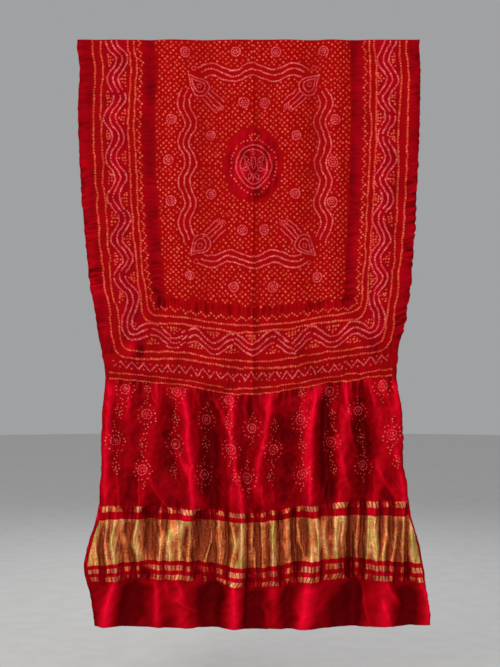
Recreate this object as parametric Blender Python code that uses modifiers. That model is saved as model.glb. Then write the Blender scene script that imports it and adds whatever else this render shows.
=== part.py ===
# Bandhani cloth: one length of tie-dyed gajji silk, hung by its top edge.
# Blender 4.5, metres, +Z up. The cloth hangs in the XZ plane, its face towards -Y.
# The origin is at the middle of the top edge, where whatever holds the cloth takes it.
#
# The cloth is one woven piece, so it is one solid. Its zari band is woven in
# and its edges are turned hems or selvedges, so neither is a separate part.
# A knotted (tied) upper part stays drawn in and nearly flat. Below the last
# row of knots the silk is free and falls in upright folds to the hem.

import bpy
import bmesh
import numpy as np

NAME = "bandhani_cloth"

THICKNESS = 0.0016      # silk with its puckers pressed between two faces
COLUMNS = 70            # faces across the width
ROW_STEP = 0.0625       # tallest face in the tied part
FOLD_ROW_STEP = 0.0255  # tallest face where the silk is free
FREE_FROM = 0.740       # depth below the top edge of the last knots
SILK = (0.50, 0.004, 0.018, 1.0)
SILK_ROUGHNESS = 0.42
SILK_METALLIC = 0.0

# The five places across the width, from the left edge to the right one,
# where a row's drop is stated.
STATIONS = (0.0, 0.25, 0.5, 0.75, 1.0)

# One row for each line across the cloth: how far below the top edge it was
# woven to hang, where its two ends are, and how much lower than that each
# station really hangs (the middle sags, the selvedges ride up). Millimetres.
SECTIONS_MM = (
    # name            down     left    right   at_left  quarter  middle  3_quarter  at_right
    ("top_edge",       0.0,  -384.0,  368.0,    0.0,     0.0,     0.0,     0.0,      0.0),
    ("heading",       18.0,  -384.0,  368.0,    0.0,     0.0,     0.0,     0.0,      0.0),
    ("shoulder",      44.0,  -380.0,  369.5,    0.0,     0.0,     0.0,     0.0,      0.0),
    ("frame_top",    154.0,  -382.5,  369.5,    0.0,     0.0,     0.0,     0.0,      0.0),
    ("medallion",    275.0,  -378.5,  365.0,    0.0,     0.0,     1.0,     0.0,      0.0),
    ("frame_low",    385.0,  -371.5,  360.0,   -1.0,     0.0,     2.5,     0.5,     -1.0),
    ("field_low",    480.0,  -363.0,  354.0,   -4.5,    -2.0,     5.5,     0.5,     -5.0),
    ("field_end",    572.0,  -353.0,  347.0,  -15.0,    -6.5,    13.0,    -2.0,    -17.5),
    ("border_in",    618.0,  -344.0,  340.0,  -13.0,    -2.0,    16.5,    -4.5,    -22.0),
    ("wave",         651.0,  -340.0,  335.0,  -11.0,     2.0,    21.0,     2.0,    -20.0),
    ("border_out",   693.0,  -330.0,  324.5,   -5.0,     2.0,    22.0,     2.0,    -22.0),
    ("zigzag",       717.0,  -325.5,  321.0,   -8.5,     8.5,    26.0,     6.5,    -22.0),
    ("last_knots",   750.0,  -321.5,  317.0,   -6.5,     7.5,    29.0,     6.5,    -15.5),
    ("flowers_1",    772.0,  -323.0,  319.0,   -6.5,     2.0,    26.0,     3.5,    -11.0),
    ("flowers_2",    831.0,  -328.0,  327.5,   -9.0,     0.0,    22.0,    -6.5,    -17.5),
    ("flowers_3",    886.0,  -330.0,  330.0,   -6.5,     3.5,    17.5,    -2.0,    -17.5),
    ("flowers_4",    948.0,  -330.0,  332.0,   -4.5,     4.5,    17.5,    -2.0,    -15.5),
    ("above_zari",  1001.0,  -334.5,  340.0,    0.0,     5.5,    17.5,    -3.5,    -11.0),
    ("zari_line",   1027.0,  -336.5,  343.0,    0.0,     7.5,    17.5,    -4.5,     -9.0),
    ("zari_top",    1047.0,  -341.0,  347.5,    4.5,     7.5,    13.0,    -2.0,     -2.0),
    ("zari_middle", 1096.0,  -358.5,  363.0,    9.0,     2.0,    13.0,    -4.5,      0.0),
    ("zari_bottom", 1144.0,  -368.5,  374.0,   11.0,    -1.0,    15.5,    -6.5,      6.5),
    ("zari_lines",  1179.0,  -364.0,  379.5,    7.0,     2.0,    19.5,     0.0,     11.0),
    ("below_zari",  1210.0,  -356.5,  383.0,    4.5,     2.0,    13.0,     0.0,      6.5),
    ("end",         1268.0,  -348.0,  390.5,    0.0,     1.0,     6.0,     2.0,     -2.0),
    ("hem",         1290.0,  -345.5,  391.5,   -3.0,     2.0,     4.0,     1.0,     -5.0),
)

# Where down the cloth a fold's own table gives its place and rise. Metres.
FOLD_LEVELS = (0.0, 0.30, 0.56, 0.735, 0.775, 0.90, 1.02, 1.10, 1.19, 1.29)

# One row for each upright fold: the place of its crest across the cloth at
# each level, its half width, and how far it stands out there. A negative rise
# is a trough. Millimetres.
FOLDS_MM = (
    # name              crest at each level                                        half   rise at each level
    ("left_edge_roll", (-372, -368, -345, -312, -315, -322, -325, -356, -340, -322), 24, (2, 3, 4, 4, 10, 15, 15, 15, 8, 10)),
    ("left_inner",     (-300, -300, -292, -270, -276, -272, -292, -304, -304, -318), 20, (2, 2, 2, 3, 8, 6, 9, 15, 14, 11)),
    ("left_band",      (-224, -222, -210, -208, -208, -222, -244, -250, -215, -208), 19, (-4, -4, -4, 1, 5, 5, 8, 11, 9, 7)),
    ("left_field",     (-178, -176, -170, -152, -152, -142, -132, -178, -170, -152), 26, (4, 4, 3, 3, 12, 16, 17, 13, 9, 9)),
    ("left_hollow",    (-100, -104, -98, -98, -98, -92, -92, -88, -84, -86), 26, (-4, -6, -3, -2, -6, -9, -9, -8, -11, -10)),
    ("left_of_crease", (-30, -26, -24, -44, -44, -44, -26, -24, -38, -40), 22, (3, 4, 3, 3, 12, 15, 19, 19, 19, 18)),
    ("right_of_crease", (36, 34, 30, 34, 34, 18, 28, 46, 46, 50), 20, (1, 1, 1, 3, 10, 12, 10, 14, 11, 9)),
    ("right_centre",   (74, 76, 92, 128, 132, 122, 130, 144, 118, 112), 24, (3, 3, 2, 3, 15, 20, 20, 20, 19, 21)),
    ("right_hollow",   (134, 136, 130, 172, 174, 166, 166, 168, 170, 182), 24, (-5, -7, -4, -1, -5, -7, -6, -4, -5, -12)),
    ("right_field",    (176, 176, 168, 206, 208, 200, 190, 186, 168, 166), 22, (4, 4, 3, 3, 12, 15, 13, 13, 9, 7)),
    ("right_band",     (222, 222, 212, 240, 240, 246, 244, 226, 224, 222), 20, (-5, -5, -5, -1, -5, -6, -6, -7, -14, -15)),
    ("right_inner",    (288, 286, 278, 268, 268, 286, 268, 264, 288, 296), 22, (2, 2, 2, 3, 10, 13, 14, 15, 14, 13)),
    ("right_edge_roll", (354, 350, 332, 306, 312, 318, 330, 350, 376, 384), 24, (2, 3, 4, 4, 11, 15, 15, 15, 13, 14)),
)

# The crease pressed down the middle when the cloth was folded in two to be tied.
CREASE_MM = (
    # level   across   half width   rise
    (0.0,     3.0,      7.0,        2.2),
    (0.56,    2.0,      7.0,        2.2),
    (0.76,    3.0,      6.0,        1.6),
    (0.90,    2.0,      6.0,        0.0),
    (1.29,    2.0,      6.0,        0.0),
)


def smooth(known, values, at):
    """A cubic through a table's points, with each slope taken from its two neighbours."""
    known, values, at = (np.asarray(a, float) for a in (known, values, at))
    step = np.diff(known)
    secant = np.diff(values) / step
    slope = np.empty_like(values)
    slope[0], slope[-1] = secant[0], secant[-1]
    slope[1:-1] = (secant[:-1] * step[1:] + secant[1:] * step[:-1]) / (step[:-1] + step[1:])
    i = np.clip(np.searchsorted(known, at, side="right") - 1, 0, len(step) - 1)
    h = step[i]
    q = (at - known[i]) / h
    return (
        (2 * q**3 - 3 * q**2 + 1) * values[i]
        + (q**3 - 2 * q**2 + q) * h * slope[i]
        + (3 * q**2 - 2 * q**3) * values[i + 1]
        + (q**3 - q**2) * h * slope[i + 1]
    )


def column(k):
    return [row[k] * 0.001 for row in SECTIONS_MM]


def stand_out(x, down):
    """How far the cloth stands out towards -Y at a place across and down it."""
    total = np.zeros_like(x)
    for _, crest, half, rise in FOLDS_MM:
        c = smooth(FOLD_LEVELS, np.array(crest) * 0.001, down)
        r = smooth(FOLD_LEVELS, np.array(rise) * 0.001, down)
        total = total + r * np.exp(-(((x - c) / (half * 0.001)) ** 2))
    level, across, half, rise = (np.array(c) for c in zip(*CREASE_MM))
    c = np.interp(down, level, across * 0.001)
    w = np.interp(down, level, half * 0.001)
    r = np.interp(down, level, rise * 0.001)
    return total + r * np.exp(-np.abs((x - c) / w))


def hang(share, down):
    """The point of the hanging cloth at a share of its width and a depth down it."""
    levels = column(1)
    left = smooth(levels, column(2), down)
    right = smooth(levels, column(3), down)
    x = left + (right - left) * share
    drops = np.array([smooth(levels, column(k), down) for k in range(4, 9)])
    drop = across_stations(drops, share)
    y = -stand_out(x, down)
    return np.stack([x, y, -(down + drop)], axis=-1)


def across_stations(drops, share):
    """The cubic through the five stations' drops, worked out for many places at once."""
    s = np.array(STATIONS)
    step = s[1] - s[0]
    slope = np.empty_like(drops)
    slope[0], slope[-1] = (drops[1] - drops[0]) / step, (drops[-1] - drops[-2]) / step
    slope[1:-1] = (drops[2:] - drops[:-2]) / (2 * step)
    i = np.clip((share / step).astype(int), 0, len(s) - 2)
    q = share / step - i
    take = lambda a, k: np.take_along_axis(a, k[None], axis=0)[0]
    return (
        (2 * q**3 - 3 * q**2 + 1) * take(drops, i)
        + (q**3 - 2 * q**2 + q) * step * take(slope, i)
        + (3 * q**2 - 2 * q**3) * take(drops, i + 1)
        + (q**3 - q**2) * step * take(slope, i + 1)
    )


def row_levels():
    """Depths of the rows of faces: close enough together for what happens there."""
    rows = [0.0]
    bottom = SECTIONS_MM[-1][1] * 0.001
    for low, high, step in ((0.0, FREE_FROM, ROW_STEP), (FREE_FROM, bottom, FOLD_ROW_STEP)):
        n = int(np.ceil((high - low) / step))
        rows += [low + (high - low) * (k + 1) / n for k in range(n)]
    return rows


def clear_scene():
    for o in list(bpy.data.objects):
        bpy.data.objects.remove(o, do_unlink=True)


def silk():
    m = bpy.data.materials.new("red_silk")
    m.use_nodes = True
    p = m.node_tree.nodes["Principled BSDF"]
    p.inputs["Base Color"].default_value = SILK
    p.inputs["Roughness"].default_value = SILK_ROUGHNESS
    p.inputs["Metallic"].default_value = SILK_METALLIC
    m.diffuse_color = SILK
    return m


def make_cloth(collection):
    """A flat grid laid on the hang, then given its thickness."""
    rows = row_levels()
    bm = bmesh.new()
    bmesh.ops.create_grid(bm, x_segments=COLUMNS, y_segments=len(rows) - 1, size=0.5)
    for v in bm.verts:
        share = v.co.x + 0.5
        k = int(round((0.5 - v.co.y) * (len(rows) - 1)))
        p = hang(np.array([share]), np.array([rows[k]]))[0]
        v.co = tuple(p)
    bmesh.ops.recalc_face_normals(bm, faces=bm.faces)
    bm.faces.ensure_lookup_table()
    if bm.faces[0].normal.y > 0:
        bmesh.ops.reverse_faces(bm, faces=bm.faces)
    mesh = bpy.data.meshes.new(NAME)
    bm.to_mesh(mesh)
    bm.free()
    mesh.shade_smooth()
    o = bpy.data.objects.new(NAME, mesh)
    o.data.materials.append(silk())
    collection.objects.link(o)
    s = o.modifiers.new("thickness", "SOLIDIFY")
    s.thickness = THICKNESS
    s.offset = 0.0
    s.use_even_offset = True
    s.use_rim = True
    return o


clear_scene()
parts = bpy.data.collections.new(NAME)
bpy.context.scene.collection.children.link(parts)
make_cloth(parts)
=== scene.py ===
# The looks of the bandhani cloth: a length of red gajji silk, tied and dyed,
# with a woven gold band, hung by its top edge. Metres, +Z up, face towards -Y.
#
# The cloth is laid on the same hang as its CAD solid: the section, fold and
# crease tables below are the solid's own. Finer folds, gathers and the
# puckers of the knots are then raised on a fine grid, and every dyed dot is
# placed by its own position on the flat cloth.

import math

import bpy
import numpy as np
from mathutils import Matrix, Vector


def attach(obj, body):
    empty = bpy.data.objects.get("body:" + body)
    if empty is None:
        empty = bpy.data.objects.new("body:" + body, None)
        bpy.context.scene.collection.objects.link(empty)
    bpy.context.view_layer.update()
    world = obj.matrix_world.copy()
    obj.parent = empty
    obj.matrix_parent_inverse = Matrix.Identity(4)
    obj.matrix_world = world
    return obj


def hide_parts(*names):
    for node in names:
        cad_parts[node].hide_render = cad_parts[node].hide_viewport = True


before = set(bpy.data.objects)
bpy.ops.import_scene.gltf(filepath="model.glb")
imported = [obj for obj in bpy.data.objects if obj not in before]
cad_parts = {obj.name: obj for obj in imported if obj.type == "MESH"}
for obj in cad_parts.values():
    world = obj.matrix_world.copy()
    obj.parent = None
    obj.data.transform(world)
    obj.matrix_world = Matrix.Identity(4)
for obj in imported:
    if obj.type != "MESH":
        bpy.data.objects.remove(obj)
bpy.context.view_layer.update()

MM = 0.001

# --------------------------------------------------------------- the hang

STATIONS = (0.0, 0.25, 0.5, 0.75, 1.0)

# The lines across the cloth, from the top edge down. Millimetres.
SECTIONS_MM = (
    # name            down     left    right   at_left  quarter  middle  3_quarter  at_right
    ("top_edge",       0.0,  -384.0,  368.0,    0.0,     0.0,     0.0,     0.0,      0.0),
    ("heading",       18.0,  -384.0,  368.0,    0.0,     0.0,     0.0,     0.0,      0.0),
    ("shoulder",      44.0,  -380.0,  369.5,    0.0,     0.0,     0.0,     0.0,      0.0),
    ("frame_top",    154.0,  -382.5,  369.5,    0.0,     0.0,     0.0,     0.0,      0.0),
    ("medallion",    275.0,  -378.5,  365.0,    0.0,     0.0,     1.0,     0.0,      0.0),
    ("frame_low",    385.0,  -371.5,  360.0,   -1.0,     0.0,     2.5,     0.5,     -1.0),
    ("field_low",    480.0,  -363.0,  354.0,   -4.5,    -2.0,     5.5,     0.5,     -5.0),
    ("field_end",    572.0,  -353.0,  347.0,  -15.0,    -6.5,    13.0,    -2.0,    -17.5),
    ("border_in",    618.0,  -344.0,  340.0,  -13.0,    -2.0,    16.5,    -4.5,    -22.0),
    ("wave",         651.0,  -340.0,  335.0,  -11.0,     2.0,    21.0,     2.0,    -20.0),
    ("border_out",   693.0,  -330.0,  324.5,   -5.0,     2.0,    22.0,     2.0,    -22.0),
    ("zigzag",       717.0,  -325.5,  321.0,   -8.5,     8.5,    26.0,     6.5,    -22.0),
    ("last_knots",   750.0,  -321.5,  317.0,   -6.5,     7.5,    29.0,     6.5,    -15.5),
    ("flowers_1",    772.0,  -323.0,  319.0,   -6.5,     2.0,    26.0,     3.5,    -11.0),
    ("flowers_2",    831.0,  -328.0,  327.5,   -9.0,     0.0,    22.0,    -6.5,    -17.5),
    ("flowers_3",    886.0,  -330.0,  330.0,   -6.5,     3.5,    17.5,    -2.0,    -17.5),
    ("flowers_4",    948.0,  -330.0,  332.0,   -4.5,     4.5,    17.5,    -2.0,    -15.5),
    ("above_zari",  1001.0,  -334.5,  340.0,    0.0,     5.5,    17.5,    -3.5,    -11.0),
    ("zari_line",   1027.0,  -336.5,  343.0,    0.0,     7.5,    17.5,    -4.5,     -9.0),
    ("zari_top",    1047.0,  -341.0,  347.5,    4.5,     7.5,    13.0,    -2.0,     -2.0),
    ("zari_middle", 1096.0,  -358.5,  363.0,    9.0,     2.0,    13.0,    -4.5,      0.0),
    ("zari_bottom", 1144.0,  -368.5,  374.0,   11.0,    -1.0,    15.5,    -6.5,      6.5),
    ("zari_lines",  1179.0,  -364.0,  379.5,    7.0,     2.0,    19.5,     0.0,     11.0),
    ("below_zari",  1210.0,  -356.5,  383.0,    4.5,     2.0,    13.0,     0.0,      6.5),
    ("end",         1268.0,  -348.0,  390.5,    0.0,     1.0,     6.0,     2.0,     -2.0),
    ("hem",         1290.0,  -345.5,  391.5,   -3.0,     2.0,     4.0,     1.0,     -5.0),
)

FOLD_LEVELS = (0.0, 0.30, 0.56, 0.735, 0.775, 0.90, 1.02, 1.10, 1.19, 1.29)

# The upright folds. Millimetres; a negative rise is a trough.
FOLDS_MM = (
    # name              crest at each level                                        half   rise at each level
    ("left_edge_roll", (-372, -368, -345, -312, -315, -322, -325, -356, -340, -322), 24, (2, 3, 4, 4, 10, 15, 15, 15, 8, 10)),
    ("left_inner",     (-300, -300, -292, -270, -276, -272, -292, -304, -304, -318), 20, (2, 2, 2, 3, 8, 6, 9, 15, 14, 11)),
    ("left_band",      (-224, -222, -210, -208, -208, -222, -244, -250, -215, -208), 19, (-4, -4, -4, 1, 5, 5, 8, 11, 9, 7)),
    ("left_field",     (-178, -176, -170, -152, -152, -142, -132, -178, -170, -152), 26, (4, 4, 3, 3, 12, 16, 17, 13, 9, 9)),
    ("left_hollow",    (-100, -104, -98, -98, -98, -92, -92, -88, -84, -86), 26, (-4, -6, -3, -2, -6, -9, -9, -8, -11, -10)),
    ("left_of_crease", (-30, -26, -24, -44, -44, -44, -26, -24, -38, -40), 22, (3, 4, 3, 3, 12, 15, 19, 19, 19, 18)),
    ("right_of_crease", (36, 34, 30, 34, 34, 18, 28, 46, 46, 50), 20, (1, 1, 1, 3, 10, 12, 10, 14, 11, 9)),
    ("right_centre",   (74, 76, 92, 128, 132, 122, 130, 144, 118, 112), 24, (3, 3, 2, 3, 15, 20, 20, 20, 19, 21)),
    ("right_hollow",   (134, 136, 130, 172, 174, 166, 166, 168, 170, 182), 24, (-5, -7, -4, -1, -5, -7, -6, -4, -5, -12)),
    ("right_field",    (176, 176, 168, 206, 208, 200, 190, 186, 168, 166), 22, (4, 4, 3, 3, 12, 15, 13, 13, 9, 7)),
    ("right_band",     (222, 222, 212, 240, 240, 246, 244, 226, 224, 222), 20, (-5, -5, -5, -1, -5, -6, -6, -7, -14, -15)),
    ("right_inner",    (288, 286, 278, 268, 268, 286, 268, 264, 288, 296), 22, (2, 2, 2, 3, 10, 13, 14, 15, 14, 13)),
    ("right_edge_roll", (354, 350, 332, 306, 312, 318, 330, 350, 376, 384), 24, (2, 3, 4, 4, 11, 15, 15, 15, 13, 14)),
)

# The crease pressed down the middle when the cloth was folded in two to be tied.
CREASE_MM = (
    # level   across   half width   rise
    (0.0,     3.0,      7.0,        2.2),
    (0.56,    2.0,      7.0,        2.2),
    (0.76,    3.0,      6.0,        1.6),
    (0.90,    2.0,      6.0,        0.0),
    (1.29,    2.0,      6.0,        0.0),
)

# The free silk's own folds, each a ridge that follows a path of places across
# and down. A negative rise is a trough. Millimetres.
SILK_FOLDS_MM = (
    # name                 half   rise    path
    ("left_edge",           10.0,   5.0, ((-308, 755), (-312, 836), (-319, 902), (-321, 968), (-323, 1019))),
    ("below_left_knots",     6.0,   4.5, ((-264, 766), (-268, 796), (-275, 832))),
    ("left_short",           7.0,   4.0, ((-207, 757), (-207, 783), (-202, 810))),
    ("left_long",            8.0,   6.5, ((-152, 788), (-139, 825), (-139, 880), (-132, 942), (-134, 979), (-128, 1023))),
    ("left_long_root",       5.0,   4.0, ((-167, 906), (-150, 942), (-136, 972))),
    ("left_hook",            5.0,   4.0, ((-121, 766), (-117, 788), (-110, 814))),
    ("left_lean",            5.0,   4.5, ((-86, 788), (-70, 818), (-55, 858), (-44, 884))),
    ("centre_left",          8.0,   6.0, ((-42, 779), (-42, 836), (-42, 880), (-35, 928), (-35, 964))),
    ("centre_left_fork",     5.0,   4.0, ((-37, 955), (-48, 990), (-51, 1030))),
    ("centre_right_fork",    6.0,   6.0, ((-33, 955), (-24, 990), (-20, 1030))),
    ("thin_left",            3.0,   2.2, ((-297, 942), (-293, 979), (-290, 1019))),
    ("thin_left_in",         3.0,   2.5, ((-249, 959), (-249, 990), (-246, 1025))),
    ("left_sweep",           5.0,   4.0, ((-224, 959), (-211, 994), (-194, 1019), (-174, 1036))),
    ("centre_crease",        4.0,   2.5, ((-18, 796), (-11, 836), (-7, 880))),
    ("right_sweep",          9.0,   6.5, ((40, 779), (37, 836), (29, 884), (13, 928), (9, 968), (11, 1003))),
    ("right_knot_row",       8.0,   3.5, ((114, 770), (110, 836), (114, 891), (117, 972))),
    ("right_long",           8.0,   7.0, ((145, 761), (139, 801), (130, 871), (132, 924), (130, 972), (128, 1023))),
    ("right_short",          6.0,   5.0, ((205, 750), (207, 788), (216, 818))),
    ("right_lean",           8.0,   5.5, ((176, 792), (176, 840), (185, 893), (200, 942), (209, 968), (218, 990))),
    ("right_hook",           5.0,   4.0, ((255, 748), (262, 779), (273, 814))),
    ("right_inner_edge",     7.0,   4.5, ((286, 757), (299, 796), (306, 845), (310, 889), (317, 928))),
    ("right_edge",           8.0,   5.0, ((312, 748), (323, 814), (326, 867), (323, 924), (330, 968), (339, 1016))),
    ("right_curl",           7.0,   5.0, ((266, 915), (279, 950), (297, 979), (315, 1012))),
    ("right_thin",           3.0,   2.5, ((213, 810), (216, 845), (222, 880), (231, 906))),
    ("low_thin_1",           3.0,   2.0, ((40, 968), (46, 994), (51, 1025))),
    ("low_thin_2",           3.0,   2.2, ((2, 977), (4, 999), (7, 1025))),
    ("low_thin_3",           3.0,   2.0, ((22, 977), (22, 999), (24, 1025))),
    ("low_lean",             4.0,   2.2, ((101, 964), (88, 994), (73, 1025))),
    ("low_thin_4",           3.5,   2.2, ((167, 959), (161, 986), (154, 1012))),
    ("dark_left",           16.0,  -5.0, ((-185, 788), (-180, 847), (-189, 902), (-194, 957))),
    ("dark_centre",         16.0,  -5.0, ((-88, 858), (-88, 913), (-92, 968), (-97, 1023))),
    ("dark_left_low",       12.0,  -4.0, ((-273, 946), (-273, 986), (-273, 1030))),
    ("dark_sweep",          10.0,  -4.0, ((-224, 990), (-222, 1012), (-220, 1038))),
    ("dark_right",           8.0,  -5.0, ((161, 783), (158, 836), (158, 902), (167, 968), (174, 1012))),
    ("dark_middle",         13.0,  -4.0, ((68, 827), (75, 880), (79, 942), (70, 1012))),
    ("dark_crumple",        14.0,  -4.5, ((242, 836), (246, 891), (246, 946), (251, 1003))),
)

SILK_FULLNESS = 1.28     # how round the satin's folds lie

# The plain end's folds.
END_FOLDS_MM = (
    # name                 half   rise    path
    ("left_down",           11.0,   6.0, ((-299, 1184), (-315, 1228), (-330, 1285))),
    ("left_dark",           22.0,  -7.0, ((-262, 1192), (-266, 1232), (-268, 1285))),
    ("left_pair",            9.0,   4.5, ((-211, 1197), (-209, 1236), (-211, 1280))),
    ("left_small",           6.0,   3.0, ((-189, 1192), (-187, 1210), (-185, 1225))),
    ("left_kite",            9.0,   5.0, ((-167, 1188), (-156, 1210), (-150, 1232))),
    ("left_kite_low",        7.0,   4.0, ((-163, 1234), (-145, 1245), (-123, 1256))),
    ("centre_dark",         26.0,  -7.0, ((-106, 1197), (-103, 1241), (-106, 1285))),
    ("centre_bright",       13.0,   8.0, ((-46, 1192), (-40, 1232), (-37, 1289))),
    ("crease_dark",          6.0,  -4.0, ((-11, 1197), (-11, 1241), (-13, 1289))),
    ("centre_plateau",      22.0,   3.5, ((53, 1197), (55, 1219), (53, 1241))),
    ("right_bright",        25.0,   9.0, ((132, 1188), (136, 1223), (128, 1258), (116, 1285))),
    ("right_foot",           9.0,   3.0, ((92, 1241), (101, 1263), (104, 1289))),
    ("small_foot",           6.0,   3.5, ((26, 1245), (31, 1263), (33, 1289))),
    ("right_dark",          27.0,  -8.0, ((205, 1192), (206, 1236), (204, 1285))),
    ("right_thin",           4.0,   3.0, ((242, 1197), (246, 1241), (257, 1285))),
    ("right_leaf",           9.0,   5.5, ((295, 1184), (306, 1210), (323, 1241))),
    ("right_leaf_low",       8.0,   3.5, ((286, 1236), (295, 1258), (306, 1285))),
    ("far_dark",            18.0,  -4.0, ((339, 1206), (345, 1241), (348, 1285))),
    ("right_roll",           8.0,   5.0, ((374, 1201), (385, 1236), (387, 1285))),
)

# Crisp folds in the stiff gold band: each one's place across at the band's
# top, middle and foot. They run on through the gold lines. Millimetres.
ZARI_FOLDS_MM = (
    # top   middle   foot   half   rise
    (-339,  -341,    -341,   6.0,   5.0),
    (-317,  -323,    -317,   5.0,   5.0),
    (-299,  -308,    -299,   6.5,   5.5),
    (-284,  -279,    -273,   7.0,   4.0),
    (-251,  -260,    -251,   6.0,   5.5),
    (-227,  -228,    -230,  14.0,  -8.0),
    (-202,  -202,    -205,   6.0,   5.0),
    (-178,  -185,    -180,   8.0,   4.5),
    (-150,  -156,    -158,   7.0,   5.0),
    (-134,  -136,    -139,   5.0,   4.5),
    (-112,  -112,    -120,  12.0,  -7.0),
    (-92,    -90,    -103,   3.5,   4.0),
    (-73,    -73,     -73,   9.0,   6.0),
    (-55,    -53,     -55,   5.0,  -5.0),
    (-48,    -40,     -48,   4.0,   4.0),
    (-22,    -22,     -22,   7.0,   6.5),
    (-9,      -9,      -9,   4.5,  -5.0),
    (2,        2,       7,   4.0,   3.5),
    (20,      22,      24,   4.0,   4.0),
    (35,      35,      36,   5.0,  -3.5),
    (48,      46,      46,   5.5,   5.5),
    (62,      62,      62,   7.0,  -3.0),
    (77,      77,      81,   9.0,   5.5),
    (92,      92,      96,   4.0,  -4.0),
    (101,    103,     114,   5.0,   4.0),
    (125,    128,     128,   6.0,   3.5),
    (141,    145,     145,   4.5,   6.5),
    (161,    161,     163,   7.0,   4.0),
    (183,    183,     187,   6.0,   5.0),
    (202,    200,     202,   5.0,   2.5),
    (216,    216,     217,   7.0,  -6.0),
    (235,    229,     229,   5.5,   4.5),
    (243,    242,     242,   5.5,  -5.0),
    (255,    253,     251,   4.5,   5.0),
    (268,    273,     273,   6.0,   4.5),
    (282,    282,     281,   4.0,  -3.5),
    (297,    295,     288,   6.0,   5.5),
    (315,    315,     308,   5.0,   5.5),
    (330,    330,     330,   4.5,   3.5),
    (340,    339,     339,   4.0,  -4.5),
    (350,    350,     352,   7.0,   5.5),
)


def smooth(known, values, at):
    """A cubic through a table's points, with each slope taken from its two neighbours."""
    known, values, at = (np.asarray(a, float) for a in (known, values, at))
    step = np.diff(known)
    secant = np.diff(values) / step
    slope = np.empty_like(values)
    slope[0], slope[-1] = secant[0], secant[-1]
    slope[1:-1] = (secant[:-1] * step[1:] + secant[1:] * step[:-1]) / (step[:-1] + step[1:])
    i = np.clip(np.searchsorted(known, at, side="right") - 1, 0, len(step) - 1)
    h = step[i]
    q = (at - known[i]) / h
    return (
        (2 * q**3 - 3 * q**2 + 1) * values[i]
        + (q**3 - 2 * q**2 + q) * h * slope[i]
        + (3 * q**2 - 2 * q**3) * values[i + 1]
        + (q**3 - q**2) * h * slope[i + 1]
    )


def column(k):
    return [row[k] * MM for row in SECTIONS_MM]


LEVELS = column(1)
LEFT, RIGHT = column(2), column(3)
DROPS = [column(k) for k in range(4, 9)]


def left_edge(down):
    return smooth(LEVELS, LEFT, down)


def right_edge(down):
    return smooth(LEVELS, RIGHT, down)


def across_stations(drops, share):
    """The cubic through the five stations' drops, worked out for many places at once."""
    s = np.array(STATIONS)
    step = s[1] - s[0]
    slope = np.empty_like(drops)
    slope[0], slope[-1] = (drops[1] - drops[0]) / step, (drops[-1] - drops[-2]) / step
    slope[1:-1] = (drops[2:] - drops[:-2]) / (2 * step)
    i = np.clip((share / step).astype(int), 0, len(s) - 2)
    q = share / step - i
    take = lambda a, k: np.take_along_axis(a, k[None], axis=0)[0]
    return (
        (2 * q**3 - 3 * q**2 + 1) * take(drops, i)
        + (q**3 - 2 * q**2 + q) * step * take(slope, i)
        + (3 * q**2 - 2 * q**3) * take(drops, i + 1)
        + (q**3 - q**2) * step * take(slope, i + 1)
    )


def drop_at(x, down):
    """How much lower than its own level the cloth hangs at a place across it."""
    l, r = left_edge(down), right_edge(down)
    share = np.clip((x - l) / (r - l), 0.0, 1.0)
    return across_stations(np.array([smooth(LEVELS, d, down) for d in DROPS]), share)


def stand_out(x, down):
    """How far the solid's own folds stand out towards -Y."""
    total = np.zeros(np.broadcast(x, down).shape)
    for _, crest, half, rise in FOLDS_MM:
        c = smooth(FOLD_LEVELS, np.array(crest) * MM, down)
        r = smooth(FOLD_LEVELS, np.array(rise) * MM, down)
        total = total + r * np.exp(-(((x - c) / (half * MM)) ** 2))
    level, across, half, rise = (np.array(c) for c in zip(*CREASE_MM))
    c = np.interp(down, level, across * MM)
    w = np.interp(down, level, half * MM)
    r = np.interp(down, level, rise * MM)
    return total + r * np.exp(-np.abs((x - c) / w))


def ramp(x, low, high):
    q = np.clip((x - low) / (high - low), 0.0, 1.0)
    return q * q * (3 - 2 * q)


def between(x, low, high, fade):
    return ramp(x, low - fade, low + fade) * (1 - ramp(x, high - fade, high + fade))


def ridge(x, low, path, half, rise, taper):
    """A fold along a path, tapering away at both ends."""
    at = np.array([d for _, d in path]) * MM
    if low.min() > at[-1] + taper or low.max() < at[0] - taper:
        return 0.0
    centre = smooth(at, np.array([a for a, _ in path]) * MM, np.clip(low, at[0], at[-1]))
    along = ramp(low, at[0] - taper, at[0] + taper) * (1 - ramp(low, at[-1] - taper, at[-1] + taper))
    return rise * along * np.exp(-(((x - centre) / half) ** 2))


def short_folds(x, down):
    """The finer folds. A path's depths are how low a place hangs, except in the gold, where they are levels."""
    total = np.zeros_like(x)
    if down.max() < 0.70:
        return total
    low = down + drop_at(x, down)
    for _, half, rise, path in SILK_FOLDS_MM:
        total += ridge(x, low, path, half * SILK_FULLNESS * MM, rise * 1.1 * MM, 0.014 + half * 0.0012)
    for _, half, rise, path in END_FOLDS_MM:
        total += ridge(x, low, path, half * MM, rise * MM, 0.010 + half * 0.0010)
    for top, middle, foot, half, rise in ZARI_FOLDS_MM:
        path = ((top, 1022), (top, 1048), (middle, 1096), (foot, 1142), (foot, 1182))
        total += ridge(x, down, path, half * MM, rise * MM, 0.012)
    return total


# ------------------------------------------------------------------- noise

def hashed(ix, iy, seed):
    """A repeatable direction for each corner of a grid."""
    n = (ix.astype(np.int64) * 374761393 + iy.astype(np.int64) * 668265263 + seed * 2147483647) & 0xFFFFFFFF
    n = ((n ^ (n >> 13)) * 1274126177) & 0xFFFFFFFF
    return ((n ^ (n >> 16)) & 0xFFFF) / 65536.0 * 2 * math.pi


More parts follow.
